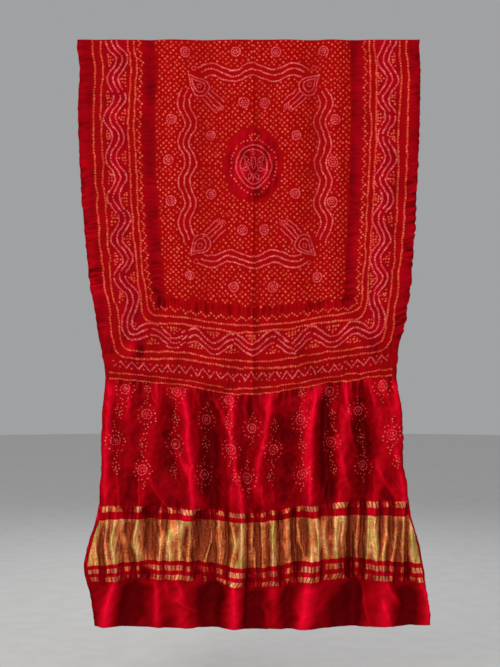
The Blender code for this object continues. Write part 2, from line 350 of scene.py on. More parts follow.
def noise(x, y, seed):
    """Gradient noise, from about -0.7 to 0.7."""
    x, y = np.broadcast_arrays(np.asarray(x, float), np.asarray(y, float))
    ix, iy = np.floor(x), np.floor(y)
    fx, fy = x - ix, y - iy
    sx, sy = fx * fx * fx * (fx * (fx * 6 - 15) + 10), fy * fy * fy * (fy * (fy * 6 - 15) + 10)

    def corner(dx, dy):
        a = hashed(ix + dx, iy + dy, seed)
        return np.cos(a) * (fx - dx) + np.sin(a) * (fy - dy)

    top = corner(0, 0) * (1 - sx) + corner(1, 0) * sx
    low = corner(0, 1) * (1 - sx) + corner(1, 1) * sx
    return top * (1 - sy) + low * sy


def ridged(x, y, seed):
    """Noise with crisp crests, from 0 to about 1, as in gathered or crumpled silk."""
    return 1 - np.abs(noise(x, y, seed)) * 2.4


# --------------------------------------------------------------- the grid

COLUMNS = 500
ROW_STEP = 0.00158
HEIGHT = 1.290

# The woven gold: each zone's first and last level. Millimetres.
ZARI_MM = (
    # name          from     to      kind
    ("top_line",   1021.5, 1032.5,  "line"),
    ("band",       1047.0, 1144.0,  "band"),
    ("low_line_1", 1153.5, 1163.5,  "line"),
    ("low_line_2", 1172.5, 1183.0,  "line"),
)


def row_levels():
    """Row depths, with a row exactly on each edge of the gold zones."""
    stops = [0.0] + [v * MM for _, a, b, _ in ZARI_MM for v in (a, b)] + [HEIGHT]
    rows = [0.0]
    for low, high in zip(stops, stops[1:]):
        n = max(1, int(round((high - low) / ROW_STEP)))
        rows += [low + (high - low) * (k + 1) / n for k in range(n)]
    return np.array(rows)


def hung_grid(rows):
    """For each row, places across it that are evenly spaced along the silk itself."""
    fine = np.linspace(0.0, 1.0, 1601)
    share = np.linspace(0.0, 1.0, COLUMNS + 1)
    x = np.empty((len(rows), COLUMNS + 1))
    width = np.empty(len(rows))
    l, r = left_edge(rows), right_edge(rows)
    for j, level in enumerate(rows):
        across = l[j] + (r[j] - l[j]) * fine
        down = np.full_like(across, level)
        out = stand_out(across, down) + short_folds(across, down)
        run = np.concatenate([[0.0], np.cumsum(np.hypot(np.diff(across), np.diff(out)))])
        width[j] = run[-1]
        x[j] = np.interp(share * run[-1], run, across)
    return x, width


rows = row_levels()
grid_x, row_width = hung_grid(rows)
grid_down = np.broadcast_to(rows[:, None], grid_x.shape)
share_across = np.linspace(0.0, 1.0, COLUMNS + 1)
CLOTH_WIDTH = 0.94       # what the loom gave
print("grid", grid_x.shape, "triangles", (len(rows) - 1) * COLUMNS * 2)


# ------------------------------------------------------------ the pattern

YELLOW, PALE, FAINT, FIELD, ROSE = range(5)     # the dots' dyes, as in DYES below


class Dots:
    """Every knot's dot: where it is, its half length and half width, which way it lies, its dye and its pucker."""

    def __init__(self):
        self.parts = []
        self.rng = np.random.default_rng(7)

    def add(self, x, down, long=1.8, short=None, turn=0.0, kind=YELLOW, lift=0.8, jitter=0.0):
        x, down = np.atleast_1d(np.asarray(x, float)), np.atleast_1d(np.asarray(down, float))
        n = len(x)
        short = long if short is None else short
        size = 1 + self.rng.normal(0, 0.08, n)
        self.parts.append(np.stack([
            x + self.rng.normal(0, 1, n) * jitter,
            down + self.rng.normal(0, 1, n) * jitter,
            long * size,
            short * size * (1 + self.rng.normal(0, 0.06, n)),
            np.broadcast_to(turn, n) + self.rng.normal(0, 0.12, n),
            np.full(n, kind),
            lift * (1 + self.rng.normal(0, 0.15, n)),
            self.rng.random(n),
        ], axis=1))

    def table(self):
        """All the dots, drawn a little out of line as the cloth was pulled up for each knot."""
        t = np.concatenate(self.parts)
        x, d = t[:, 0].copy(), t[:, 1].copy()
        t[:, 0] += noise(x / 15, d / 22, 71) * 2.6 + noise(x / 48, d / 60, 72) * 3.0
        t[:, 1] += noise(x / 22, d / 15, 73) * 2.6 + noise(x / 60, d / 48, 74) * 3.0
        return t


dots = Dots()


def spaced(points, step):
    """Points a step apart along a line, and the way the line runs there."""
    points = np.asarray(points, float)
    run = np.concatenate([[0.0], np.cumsum(np.hypot(*np.diff(points, axis=0).T))])
    n = max(1, int(round(run[-1] / step)))
    at = (np.arange(n) + 0.5) / n * run[-1]
    x, y = np.interp(at, run, points[:, 0]), np.interp(at, run, points[:, 1])
    ahead = np.clip(at + 0.5, 0, run[-1])
    back = np.clip(at - 0.5, 0, run[-1])
    turn = np.arctan2(
        np.interp(ahead, run, points[:, 1]) - np.interp(back, run, points[:, 1]),
        np.interp(ahead, run, points[:, 0]) - np.interp(back, run, points[:, 0]),
    )
    return x, y, turn


def slipped(x, y, turn, slips):
    """Lines are tied in short runs, each a little out of line with the last, and a dot is missed between some of them."""
    count, reach, missed, seed = slips
    rng = np.random.default_rng(seed)
    ends = np.sort(rng.random(count))
    part = np.searchsorted(ends, (np.arange(len(x)) + 0.5) / len(x))
    shift = rng.normal(0, reach, count + 1)[part]
    kept = np.ones(len(x), bool)
    if missed:
        kept[np.nonzero(np.diff(part))[0][::missed]] = False
    return (x - np.sin(turn) * shift)[kept], (y + np.cos(turn) * shift)[kept], turn[kept]


def line_of_dots(points, step=5.4, kind=YELLOW, long=2.2, short=1.45, lift=0.8, jitter=0.25, slips=None):
    x, y, turn = spaced(points, step)
    if slips:
        x, y, turn = slipped(x, y, turn, slips)
    dots.add(x, y, long, short, turn, kind, lift, jitter)


def ring_of_dots(x, down, radius, count, kind=PALE, long=2.0, short=1.4, lift=0.7, tall=1.0, start=0.0):
    a = start + 2 * math.pi * np.arange(count) / count
    dots.add(x + radius * np.cos(a), down + radius * tall * np.sin(a), long, short, a + math.pi / 2, kind, lift, 0.25)


# The border's lines: how far in from each selvedge, and the level at which
# each one turns and runs across. Millimetres.
BORDER_MM = (
    # name        from_left  from_right   level   corner
    ("outer",       34.0,      26.5,      700.0,   30.0),
    ("outer_in",    51.5,      44.0,      686.5,   26.0),
    ("inner_out",  112.0,      97.5,      625.0,   24.0),
    ("inner",      125.5,     110.0,      611.5,   22.0),
)
WAVE_FROM_LEFT, WAVE_FROM_RIGHT, WAVE_LEVEL = 83.0, 73.5, 651.5
WAVE_SPACING = 12.4
ZIG_FROM_LEFT, ZIG_FROM_RIGHT, ZIG_LEVEL = 135.5, 121.0, 598.0
FIELD_FROM_LEFT, FIELD_FROM_RIGHT, FIELD_LEVEL = 172.0, 154.0, 573.0
EDGE_SHRINK = 0.955      # the borders narrow a little towards the waist


def narrowed(down_mm):
    return 1 + (EDGE_SHRINK - 1) * np.clip(np.asarray(down_mm) / 572.0, 0, 1.1)


def from_left(d, down_mm):
    return left_edge(np.asarray(down_mm) * MM) / MM + d * narrowed(down_mm)


def from_right(d, down_mm):
    return right_edge(np.asarray(down_mm) * MM) / MM - d * narrowed(down_mm)


def u_path(d_left, d_right, level, corner, start=-4.0):
    """Down the left side, across the bottom and up the right side, with round corners."""
    down = np.linspace(start, level - corner, 160)
    left = np.stack([from_left(d_left, down), down], 1)
    right = np.stack([from_right(d_right, down), down], 1)
    a = np.linspace(0, math.pi / 2, 14)[1:-1]
    cl = left[-1] + [corner, 0]
    cr = right[-1] - [corner, 0]
    left_arc = np.stack([cl[0] - corner * np.cos(a), cl[1] + corner * np.sin(a)], 1)
    right_arc = np.stack([cr[0] + corner * np.cos(a), cr[1] + corner * np.sin(a)], 1)
    across = np.linspace(cl[0], cr[0], 120)
    bottom = np.stack([across, np.full_like(across, level)], 1)
    return np.concatenate([left, left_arc, bottom, right_arc[::-1], right[::-1]])


# Where the border's waves lean in towards the field: levels down the side,
# then places across the bottom. Millimetres.
WAVE_SIDE_MM = (-40, 44, 128, 213, 304, 394, 485, 576)
WAVE_BOTTOM_MM = (-220, -123, -44, 46, 132, 224)


def wave_path(offset, swing_side=10.0, swing_bottom=11.5):
    """One of the border's three wavy lines, offset out from their middle line."""
    path = u_path(WAVE_FROM_LEFT, WAVE_FROM_RIGHT, WAVE_LEVEL, 14.0)
    run = np.concatenate([[0.0], np.cumsum(np.hypot(*np.diff(path, axis=0).T))])
    half = len(path) // 2
    low = path[:, 1] > WAVE_LEVEL - 1
    marks = [np.interp(d, path[:half, 1], run[:half]) if d > -4 else run[0] - (-4 - d) for d in WAVE_SIDE_MM]
    across = path[low]
    marks += [np.interp(x, across[:, 0], run[low]) for x in WAVE_BOTTOM_MM]
    side = path[half:][::-1]
    back = run[half:][::-1]
    rising = side[:, 1].argmax()
    order = np.argsort(side[:, 1])
    marks += [np.interp(d, side[order, 1], back[order]) if d > -4 else run[-1] + (-4 - d) for d in WAVE_SIDE_MM[::-1]]
    phase = np.interp(run, marks, np.arange(len(marks))) * 2 * math.pi
    swing = np.where(path[:, 1] > 600, swing_bottom, swing_side)
    tangent = np.gradient(path, axis=0)
    tangent /= np.hypot(*tangent.T)[:, None]
    inward = np.stack([tangent[:, 1], -tangent[:, 0]], 1)
    return path + inward * (swing * np.cos(phase) - offset)[:, None]


def resampled(points, step):
    points = np.asarray(points, float)
    run = np.concatenate([[0.0], np.cumsum(np.hypot(*np.diff(points, axis=0).T))])
    at = np.arange(0, run[-1], step)
    return np.stack([np.interp(at, run, points[:, 0]), np.interp(at, run, points[:, 1])], 1)


def border():
    for _, dl, dr, level, corner in BORDER_MM:
        line_of_dots(u_path(dl, dr, level, corner), 5.3, YELLOW, 2.5, 2.05, slips=(40, 0.8, 0, int(dl)))
    for offset in (-WAVE_SPACING, 0.0, WAVE_SPACING):
        line_of_dots(wave_path(offset), 5.4, PALE, 2.85, 1.95, 0.9, slips=(34, 1.5, 3, 91))
    # the dotted zigzag inside the inner line
    path = resampled(u_path(ZIG_FROM_LEFT, ZIG_FROM_RIGHT, ZIG_LEVEL, 18.0), 5.6)
    tangent = np.gradient(path, axis=0)
    tangent /= np.hypot(*tangent.T)[:, None]
    inward = np.stack([tangent[:, 1], -tangent[:, 0]], 1)
    side = np.array((-3.6, 0.2, 3.6, 0.2))[np.arange(len(path)) % 4]
    zig = path + inward * side[:, None]
    dots.add(zig[:, 0], zig[:, 1], 2.15, jitter=0.45)
    # little pyramids of dots in the hollows of the waves
    middle = resampled(wave_path(0.0), 1.0)
    centre = resampled(u_path(WAVE_FROM_LEFT, WAVE_FROM_RIGHT, WAVE_LEVEL, 14.0), 1.0)
    pyramids()
    # the two lines and the pale zigzag that close the tied part
    for level in (738.0, 750.5):
        down = np.full(120, level)
        x = np.linspace(from_left(10, level), from_right(10, level), 120)
        line_of_dots(np.stack([x, down], 1), 5.0, YELLOW, 2.35, 1.75, slips=(20, 0.8, 0, int(level)))
    pale_zigzag()


PYRAMID_ROWS = ((0.0, 1), (5.4, 3), (10.8, 5), (15.8, 4))


def pyramid(x, down, way_x, way_y, rows=3):
    """Dots in rows that widen along the way given."""
    for depth, count in PYRAMID_ROWS[:rows]:
        across = (np.arange(count) - (count - 1) / 2) * 6.5
        dots.add(x + way_x * depth - way_y * across, down + way_y * depth + way_x * across, 2.1, jitter=0.8)


def pyramids():
    side = np.array(WAVE_SIDE_MM, float)
    reach_in, reach_out = 26.0, 24.0
    for k, d in enumerate(side):
        if d < 6:
            continue
        xl, xr = from_left(WAVE_FROM_LEFT, d), from_right(WAVE_FROM_RIGHT, d)
        # on the outer side where the wave leans in
        if d < 600:
            pyramid(float(xl) - 7.0, d, -1, 0)
            pyramid(float(xr) + 7.0, d, 1, 0)
        m = (d + side[k - 1]) / 2
        if m > 6:
            xl, xr = from_left(WAVE_FROM_LEFT, m), from_right(WAVE_FROM_RIGHT, m)
            pyramid(float(xl) + 8.0, m, 1, 0)
            pyramid(float(xr) - 8.0, m, -1, 0)
    across = np.array(WAVE_BOTTOM_MM, float)
    for k, x in enumerate(across):
        pyramid(x, WAVE_LEVEL + 7.0, 0, 1)
        if k:
            pyramid((x + across[k - 1]) / 2, WAVE_LEVEL - 8.0, 0, -1)
    for x, d in ((-262, 636), (255, 634)):
        dots.add(x + np.array((0, 6, 1, 7, -5)), d + np.array((0, 1, -6, -5, -3)), 1.8, jitter=0.4)


def pale_zigzag():
    level, rise, period = 717.0, 7.4, 26.5
    n = int(round((from_right(24, level) - from_left(24, level)) / period))
    x = np.linspace(from_left(24, level), from_right(24, level), 2 * n + 1)
    y = level + rise * np.where(np.arange(2 * n + 1) % 2, -1.0, 1.0)
    line_of_dots(np.stack([x, y], 1), 4.6, PALE, 2.3, 1.6, 0.9, slips=(18, 1.0, 3, 17))
    dots.add(x[0::2], np.full(n + 1, level - rise * 0.75), 1.8, jitter=0.8)
    dots.add(x[1::2], np.full(n, level + rise * 0.9), 1.8, jitter=0.8)


# The field's own figures. Millimetres from the middle crease and the top edge.
FIELD_MIDDLE = 275.0
FRAME_SIDE = 145.0       # the inner frame's middle line, from the crease
FRAME_TOP, FRAME_BOTTOM = 72.0, 478.0
FRAME_SPACING = 12.8
ROSETTES_MM = (
    (-147, 26), (-35, 26), (53, 26), (158, 24), (-178, 174), (183, 176), (-183, 264), (178, 268),
    (-178, 354), (176, 356), (-90, 209), (97, 209), (-90, 337), (95, 337), (-18, 139), (29, 139),
    (-20, 414), (26, 414), (-136, 519), (143, 521), (-40, 535), (46, 535),
)
CORNER_BUDS_MM = (
    # x     down   way_x   way_down
    (-121,   97,    -1,      -1),
    (130,    95,     1,      -1),
    (-117,  453,    -1,       1),
    (121,   453,     1,       1),
)
MEDALLION_MM = (3.0, 277.0, 39.0, 46.0)      # x, down, half width, half height
HALO_MM = (3.0, 274.0, 66.0, 82.0)


def frame_paths():
    """The inner frame: three wavy lines on each side, open at the corners for the buds."""
    paths = []
    for k in (-1, 0, 1):
        off = k * FRAME_SPACING
        reach = 8 + 7 * k          # the outer lines run on beside the buds
        for sx, fx in ((-1, 1.0), (1, 1.06)):
            d = np.linspace(121 - reach, 430 + reach, 170)
            x = sx * (FRAME_SIDE * fx + off) + 2.0 + 7.2 * np.cos((d - 182) / 88.0 * 2 * math.pi) * -sx
            paths.append((np.stack([x, d], 1), PALE))
        for top, level, sy in ((True, FRAME_TOP, -1), (False, FRAME_BOTTOM, 1)):
            x = np.linspace(-104 - reach, 108 + reach, 130)
            d = level + sy * off + sy * 7.5 * np.cos((x - 1) / 92.0 * 2 * math.pi)
            paths.append((np.stack([x, d], 1), PALE))
    return paths


def drop_shape(x, down, way, length, width, count=64, tip=1.6):
    """A drop's outline, its tip towards the way given."""
    t = np.linspace(0, 2 * math.pi, count)
    along = np.cos(t) * length / 2
    aside = np.sin(t) * np.sin(t / 2) ** tip * width / 2 * 1.3
    wx, wy = way
    n = math.hypot(wx, wy)
    wx, wy = wx / n, wy / n
    return np.stack([x + along * wx - aside * wy, down + along * wy + aside * wx], 1)


def field_figures():
    for path, kind in frame_paths():
        line_of_dots(path, 5.2, kind, 2.8, 1.85, 0.8, slips=(9, 0.7, 0, 5))
    for x, d, wx, wy in CORNER_BUDS_MM:
        line_of_dots(drop_shape(x, d, (wx, wy), 56, 44), 4.8, ROSE, 2.55, 1.75)
        line_of_dots(drop_shape(x - wx * 0.5, d - wy * 0.5, (wx, wy), 36, 27), 4.5, ROSE, 2.4, 1.65)
        ring_of_dots(x - wx * 3, d - wy * 3, 4.6, 6, ROSE, 1.9, 1.3)
        ring_of_dots(x + wx * 6, d + wy * 34, 4.4, 6, ROSE, 1.9, 1.3)
        for side in (-1.5, -0.5, 0.5, 1.5):
            a = np.array((x - wx * 21 + side * 6.6 * wy, d - wy * 21 - side * 6.6 * wx))
            b = a + np.array((-wx, -wy)) * 28
            line_of_dots([a, b], 4.6, ROSE, 2.4, 1.55)
        ring_of_dots(x - wx * 54, d - wy * 52, 5.4, 7, ROSE, 2.0, 1.3)
        dots.add(x - wx * 54, d - wy * 52, 1.8, kind=ROSE)
        ring_of_dots(x - wx * 44, d - wy * 58, 3.6, 5, ROSE, 1.8, 1.3)
    for x, d in ROSETTES_MM:
        ring_of_dots(x, d, 9.8, 13, ROSE, 2.35, 1.75)
        ring_of_dots(x, d, 4.6, 6, ROSE, 2.1, 1.6)
        dots.add(x, d, 1.4, kind=ROSE)
    medallion()


def medallion():
    x, d, half_w, half_h = MEDALLION_MM
    for grow in (0.0, -9.0):
        line_of_dots(pointed_oval(x, d, half_w + grow, half_h + grow), 4.6, ROSE, 2.35, 1.6, 0.7)
    # a generic spray: a stem, paired leaves and two open flowers
    for s in (-1, 1):
        leaf = lambda cx, cy, a, ln: line_of_dots(
            drop_shape(x + s * cx, d + cy, (s * math.cos(a), math.sin(a)), ln, ln * 0.62, 40), 4.0, ROSE, 1.9, 1.15, 0.5)
        leaf(17, -17, -0.9, 15)
        leaf(19, 6, 0.15, 15)
        leaf(9, 23, 1.2, 14)
        ring_of_dots(x + s * 14, d - 4, 5.2, 8, ROSE, 1.7, 1.1, 0.5)
        dots.add(x + s * 14, d - 4, 1.5, kind=ROSE)
        line_of_dots([(x, d + 27), (x + s * 6, d + 13), (x + s * 12, d + 3)], 3.9, ROSE, 1.7, 1.15, 0.4)
        line_of_dots([(x + s * 3, d + 4), (x + s * 6, d - 8), (x + s * 4, d - 22)], 3.9, ROSE, 1.7, 1.15, 0.4)
    ring_of_dots(x, d - 30, 3.4, 5, ROSE, 1.6, 1.1, 0.4)
    dots.add(np.full(5, x), d + np.linspace(-20, 30, 5), 1.6, 1.2, math.pi / 2, ROSE, 0.5)
    # yellow dots around it and a sprig above
    outline = pointed_oval(x, d + 1, half_w + 12, half_h + 12)
    line_of_dots(outline, 8.6, YELLOW, 2.0, 1.9, 0.9, 0.8)
    dots.add(x + np.array((-9, -2, 5, 12, -6, 8)), d - half_h - np.array((20, 24, 25, 20, 15, 15)), 1.9, jitter=0.5)


def pointed_oval(x, d, half_w, half_h, count=90):
    """An oval with its foot drawn to a point."""
    t = np.linspace(0, 2 * math.pi, count)
    low = np.maximum(np.sin(t), 0)
    wide = np.cos(t) * half_w * (1 - 0.30 * low**2)
    return np.stack([x + wide, d + half_h * np.sin(t) * (1 + 0.04 * low)], 1)


LATTICE_ALONG, LATTICE_ACROSS = 9.1, 8.9


def field_lattice():
    """The fine dots: slanting rows, mirrored about the crease and about the middle of the field."""
    taken = np.concatenate(dots.parts)
    reach = 420
    n = int(reach / 7)
    i, j = np.meshgrid(np.arange(-n, n), np.arange(-n, n))
    c = math.sqrt(0.5)
    a = (i + 0.5) * LATTICE_ALONG
    b = (j + 0.5) * LATTICE_ACROSS
    x = (a * c + b * c).ravel()
    y = (a * c * 1.04 - b * c * 0.96).ravel()
    keep = (x > -0.5) & (y > 0.5) & (x < 240) & (y < 310)
    x, y = x[keep], y[keep]
    rng = np.random.default_rng(11)
    all_x, all_d = [], []
    for sx in (-1, 1):
        if sx > 0:             # the row on the crease itself is tied once
            x, y = x[x > 2.5], y[x > 2.5]
        for sy in (-1, 1):
            px = 2.0 + sx * x + rng.normal(0, 0.7, len(x))
            py = FIELD_MIDDLE + sy * y + rng.normal(0, 0.7, len(x))
            all_x.append(px)
            all_d.append(py)
    x, d = np.concatenate(all_x), np.concatenate(all_d)
    inside = (
        (x > from_left(FIELD_FROM_LEFT, d)) & (x < from_right(FIELD_FROM_RIGHT, d))
        & (d > 1.5) & (d < FIELD_LEVEL + rng.normal(0, 3.5, len(d)))
    )
    hx, hd, hw, hh = HALO_MM
    inside &= ((x - hx) / hw) ** 2 + ((d - hd) / hh) ** 2 > 1
    x, d = x[inside], d[inside]
    pale = taken[(taken[:, 5] == PALE) | (taken[:, 5] == ROSE)]
    free = np.ones(len(x), bool)
    for part in np.array_split(np.arange(len(x)), 12):
        gap = np.hypot(x[part, None] - pale[None, :, 0], d[part, None] - pale[None, :, 1]).min(1)
        free[part] = gap > 5.2
    # nothing inside a figure or between the frame's lines
    for fx, fd in ROSETTES_MM:
        free &= np.hypot(x - fx, d - fd) > 14.5
    for bx, bd, wx, wy in CORNER_BUDS_MM:
        free &= np.hypot(x - bx, d - bd) > 22
    in_band = np.zeros(len(x), bool)
    for sx, fx in ((-1, 1.0), (1, 1.06)):
        mid = sx * FRAME_SIDE * fx + 2.0 - sx * 7.2 * np.cos((d - 182) / 88.0 * 2 * math.pi)
        in_band |= (np.abs(x - mid) < FRAME_SPACING + 3.5) & (d > 108) & (d < 444)
    for level, sy in ((FRAME_TOP, -1), (FRAME_BOTTOM, 1)):
        mid = level + sy * 7.5 * np.cos((x - 1) / 92.0 * 2 * math.pi)
        in_band |= (np.abs(d - mid) < FRAME_SPACING + 3.5) & (x > -117) & (x < 121)
    free &= ~in_band
    x, d = x[free], d[free]
    dots.add(x, d, 2.2, kind=FIELD, lift=1.1)


# The free silk's scattered figures. Millimetres.
BIG_FLOWERS_MM = (
    (-279, 768), (-165, 774), (-51, 792), (169, 774), (286, 761), (-231, 823), (-101, 836), (0, 854),
    (108, 834), (233, 816), (-299, 880), (-169, 889), (-46, 898), (46, 902), (174, 884), (306, 867),
    (-240, 946), (-106, 957), (-9, 964), (110, 953), (246, 935),
)
SPRIGS_MM = (
    (-229, 768), (110, 777), (-290, 816), (-167, 832), (-51, 845), (51, 847), (176, 825), (-238, 884),
    (-101, 889), (112, 891), (240, 876), (-299, 937), (-172, 948), (-37, 961), (42, 961), (180, 942),
    (315, 926),
)


def level_of(x_mm, hung_mm):
    """The woven level of a place that is given by how low it hangs."""
    x, low = np.asarray(x_mm, float) * MM, np.asarray(hung_mm, float) * MM
    down = low.copy()
    for _ in range(6):
        down = low - drop_at(x, down)
    return down / MM


def free_figures():
    rng = np.random.default_rng(23)
    for x, hung in BIG_FLOWERS_MM:
        d = float(level_of(x, hung))
        d = max(d, 764.0)
        ring_of_dots(x, d, 9.4, 12, PALE, 1.9, 1.25, 0.8, 1.12, rng.random())
        ring_of_dots(x, d, 3.8, 5, PALE, 1.6, 1.15, 0.7, 1.1, rng.random())
        if rng.random() < 0.5:
            dots.add(x, d, 1.6, kind=PALE)
        n = 15
        a = 2 * math.pi * (np.arange(n) + rng.random()) / n
        r = 19 + rng.normal(0, 1.6, n)
        dy = np.sin(a) * r * 1.15
        ok = d + dy > 756
        dots.add((x + np.cos(a) * r)[ok], (d + dy)[ok], 1.5, kind=FAINT, jitter=1.0)
        for sy in (-1, 1):     # a few dots tapering away above and below
            k = np.array((0, 1, 2))
            tx, td = x + (rng.random(3) - 0.5) * 7, d + sy * (27.5 + 5.5 * k)
            ok = td > 756
            dots.add(tx[ok], td[ok], 1.4, kind=FAINT, jitter=0.8)
    for x, hung in SPRIGS_MM:
        d = max(float(level_of(x, hung)), 764.0)
        ring_of_dots(x, d, 7.6, 7, FAINT, 1.5, 1.4, 0.7, 1.2, rng.random())
        dots.add(x + (rng.random(3) - 0.5) * 6, d + (rng.random(3) - 0.5) * 9, 1.5, kind=FAINT)
        dots.add(x + np.array((-2, 2.5)), d + np.array((-15, 15.5)), 1.4, kind=FAINT, jitter=1.5)


border()
field_figures()
field_lattice()
free_figures()
dot_table = dots.table()
# the field's figures were set out by how low they hang
print("dots", len(dot_table))


def dots_on_grid():
    """Each dot's place on the grid, in columns and rows."""
    x, down = dot_table[:, 0] * MM, dot_table[:, 1] * MM
    keep = (down > 0.001) & (down < HEIGHT - 0.002)
    row = np.interp(down, rows, np.arange(len(rows)))
    j = np.clip(np.round(row).astype(int), 0, len(rows) - 1)
    col = np.array([np.interp(a, grid_x[b], np.arange(COLUMNS + 1)) for a, b in zip(x, j)])
    keep &= (col > 1.5) & (col < COLUMNS - 1.5)
    per_col = row_width[j] / COLUMNS
    return row[keep], col[keep], per_col[keep], dot_table[keep]


dot_row, dot_col, dot_step, dot_table = dots_on_grid()


def row_step_at(j):
    j = np.clip(j, 0, len(rows) - 2)
    return rows[j + 1] - rows[j]


def pucker(relief):
    """Raises the silk to a small peak at each knot."""
    for r, c, step, dot in zip(dot_row, dot_col, dot_step, dot_table):
        long, short, turn, lift = dot[2] * MM, dot[3] * MM, dot[4], dot[6] * MM
        j0, i0 = int(r), int(c)
        j = np.arange(max(0, j0 - 4), min(len(rows), j0 + 6))
        i = np.arange(max(0, i0 - 4), min(COLUMNS + 1, i0 + 6))
        dy = (rows[j] - np.interp(r, (j0, j0 + 1), rows[[j0, min(j0 + 1, len(rows) - 1)]]))[:, None]
        dx = ((i - c) * step)[None, :]
        a = (dx * math.cos(turn) + dy * math.sin(turn)) / (long * 1.25)
        b = (dy * math.cos(turn) - dx * math.sin(turn)) / (short * 1.35)
        relief[j[0]:j[-1] + 1, i[0]:i[-1] + 1] += lift * np.exp(-(a * a + b * b))


def nearest_dots():
    """For each face of the grid, which dot is nearest in that dot's own measure."""
    shape = (len(rows) - 1, COLUMNS)
    best = np.full(shape, 9.0)
    which = np.full(shape, -1)
    mid = (rows[:-1] + rows[1:]) / 2
    centre = np.interp(dot_row, np.arange(len(rows)), rows)
    for n, (r, c, step, dot) in enumerate(zip(dot_row, dot_col, dot_step, dot_table)):
        long, short, turn = dot[2] * MM, dot[3] * MM, dot[4]
        j0, i0 = int(r), int(c)
        j = slice(max(0, j0 - 3), min(shape[0], j0 + 4))
        i = slice(max(0, i0 - 3), min(shape[1], i0 + 4))
        dy = (mid[j] - centre[n])[:, None]
        dx = ((np.arange(i.start, i.stop) + 0.5 - c) * step)[None, :]
        a = (dx * math.cos(turn) + dy * math.sin(turn)) / long
        b = (dy * math.cos(turn) - dx * math.sin(turn)) / short
        reach = np.hypot(a, b)
        closer = reach < best[j, i]
        best[j, i] = np.where(closer, reach, best[j, i])
        which[j, i] = np.where(closer, n, which[j, i])
    return which, centre


# ------------------------------------------------------------- the relief

def side_distances():
    """How far each grid point is from each selvedge, and the level, in millimetres."""
    down = grid_down / MM
    l = left_edge(rows)[:, None] / MM
    r = right_edge(rows)[:, None] / MM
    x = grid_x / MM
    return x, down, (x - l) / narrowed(down), (r - x) / narrowed(down)


def gathers():
    """Fine gathers: across the selvedges and side bands, upright in the bands across."""
    x, down, dl, dr = side_distances()
    total = np.zeros_like(x)
    tied = 1 - ramp(down, 735, 765)
    # the plain selvedges, drawn up by the knots of the outer line
    for d, width, seed in ((dl, 34.0, 21), (dr, 26.5, 22)):
        selvedge = (1 - ramp(d, width - 4, width + 6)) * (1 - ramp(down, 640, 720))
        selvedge = selvedge * (0.65 + 0.75 * ramp(down, 170, 420)) * (0.55 + 0.9 * ramp(noise(down / 60, 0.5, seed + 5), -0.3, 0.4))
        free_edge = ramp(width - d, 0, width)
        lean = down + (x - x.mean()) * 0.25
        pleat = ridged(lean / 20.0, x / 60, seed) * 0.9 + ridged(lean / 9.0, x / 50, seed + 10) * 0.9
        total += selvedge * (0.55 + 0.6 * free_edge) * (pleat - 0.9) * 1.25
    # the plain band round the field's sides
    for d, low, high, seed in ((dl, 142, 171, 23), (dr, 128, 153, 24)):
        band = between(d, low, high, 4) * (1 - ramp(down, 575, 600))
        lean = down + noise(x / 20, down / 60, seed + 6) * 8
        pleat = ridged(lean / 17.0, x / 60, seed) * 0.35 + ridged(lean / 8.0, x / 60, seed + 10) * 1.0
        total += band * (pleat - 0.7) * (0.8 + 0.5 * ramp(down, 150, 420)) * 0.9
    # upright pleats below the field and between the lines across
    inside = ramp(dl, 130, 150) * ramp(dr, 118, 136)
    below = between(down, 572, 597, 5) * inside
    pleat = ridged(x / 10.5, down / 60, 25) * 1.2 + ridged(x / 5.6, down / 50, 26) * 0.5
    total += below * (pleat - 0.9) * 2.0
    for low, high, amount in ((614, 622, 0.5), (700, 712, 0.8), (722, 736, 0.9), (740, 748, 0.9)):
        band = between(down, low, high, 4)
        pleat = ridged(x / 9.0, down / 45, 27) + ridged(x / 5.2, down / 40, 28) * 0.5
        total += band * (pleat - 0.8) * amount
    # small gathers between the side lines
    for d, low, high, seed in ((dl, 36, 50, 31), (dr, 28, 42, 32), (dl, 113, 124, 33), (dr, 98, 109, 34)):
        band = between(d, low, high, 3) * (1 - ramp(down, 620, 660))
        total += band * (ridged(down / 9.0, x / 30, seed) - 0.6) * 0.5
    # where the knots end the silk springs out in fine pleats that soon fade
    spring = ramp(down, 748, 757) * np.exp(-np.clip(down - 754, 0, None) / 32.0)
    pleat = ridged(x / 14.0, down / 120, 35) + ridged(x / 8.0, down / 90, 36) * 0.6
    total += spring * (pleat - 0.9) * 3.0
    return total * MM, tied


def crumples():
    """Soft unevenness everywhere, and the sharper crumples of the free silk."""
    x, down = grid_x / MM, grid_down / MM
    total = noise(x / 46, down / 60, 41) * 1.6 + noise(x / 21, down / 24, 42) * 0.5
    free = ramp(down, 756, 800) * (1 - ramp(down, 1010, 1040))
    warp = noise(x / 60, down / 60, 44) * 18
    total += free * (ridged((x + warp) / 24, (down - warp) / 52, 43) - 0.5) * 1.5
    total += free * (ridged((x * 0.7 + down * 0.7) / 19, (down * 0.7 - x * 0.7) / 40, 45) - 0.5) * 1.2
    total += free * (ridged((x * 0.8 - down * 0.6) / 10, (down * 0.8 + x * 0.6) / 24, 53) - 0.5) * 0.7
    end = ramp(down, 1186, 1210)
    total += end * noise((x + down * 0.5) / 30, down / 70, 46) * 2.4
    total += end * (ridged((x * 0.6 + down * 0.8 + warp) / 20, (down * 0.6 - x * 0.8) / 44, 54) - 0.5) * 1.1
    band = between(down, 1016, 1186, 8)
    bend = noise(x / 40, down / 40, 48) * 8
    total += band * (ridged((x + bend) / 9.0, down / 55, 47) - 0.6) * 1.5
    total += band * (ridged((x - bend) / 5.0, down / 30, 50) - 0.6) * 0.5
    total += band * (ridged(x / 12.0, (down + bend) / 7.0, 49) - 0.6) * 0.6
    return total * MM


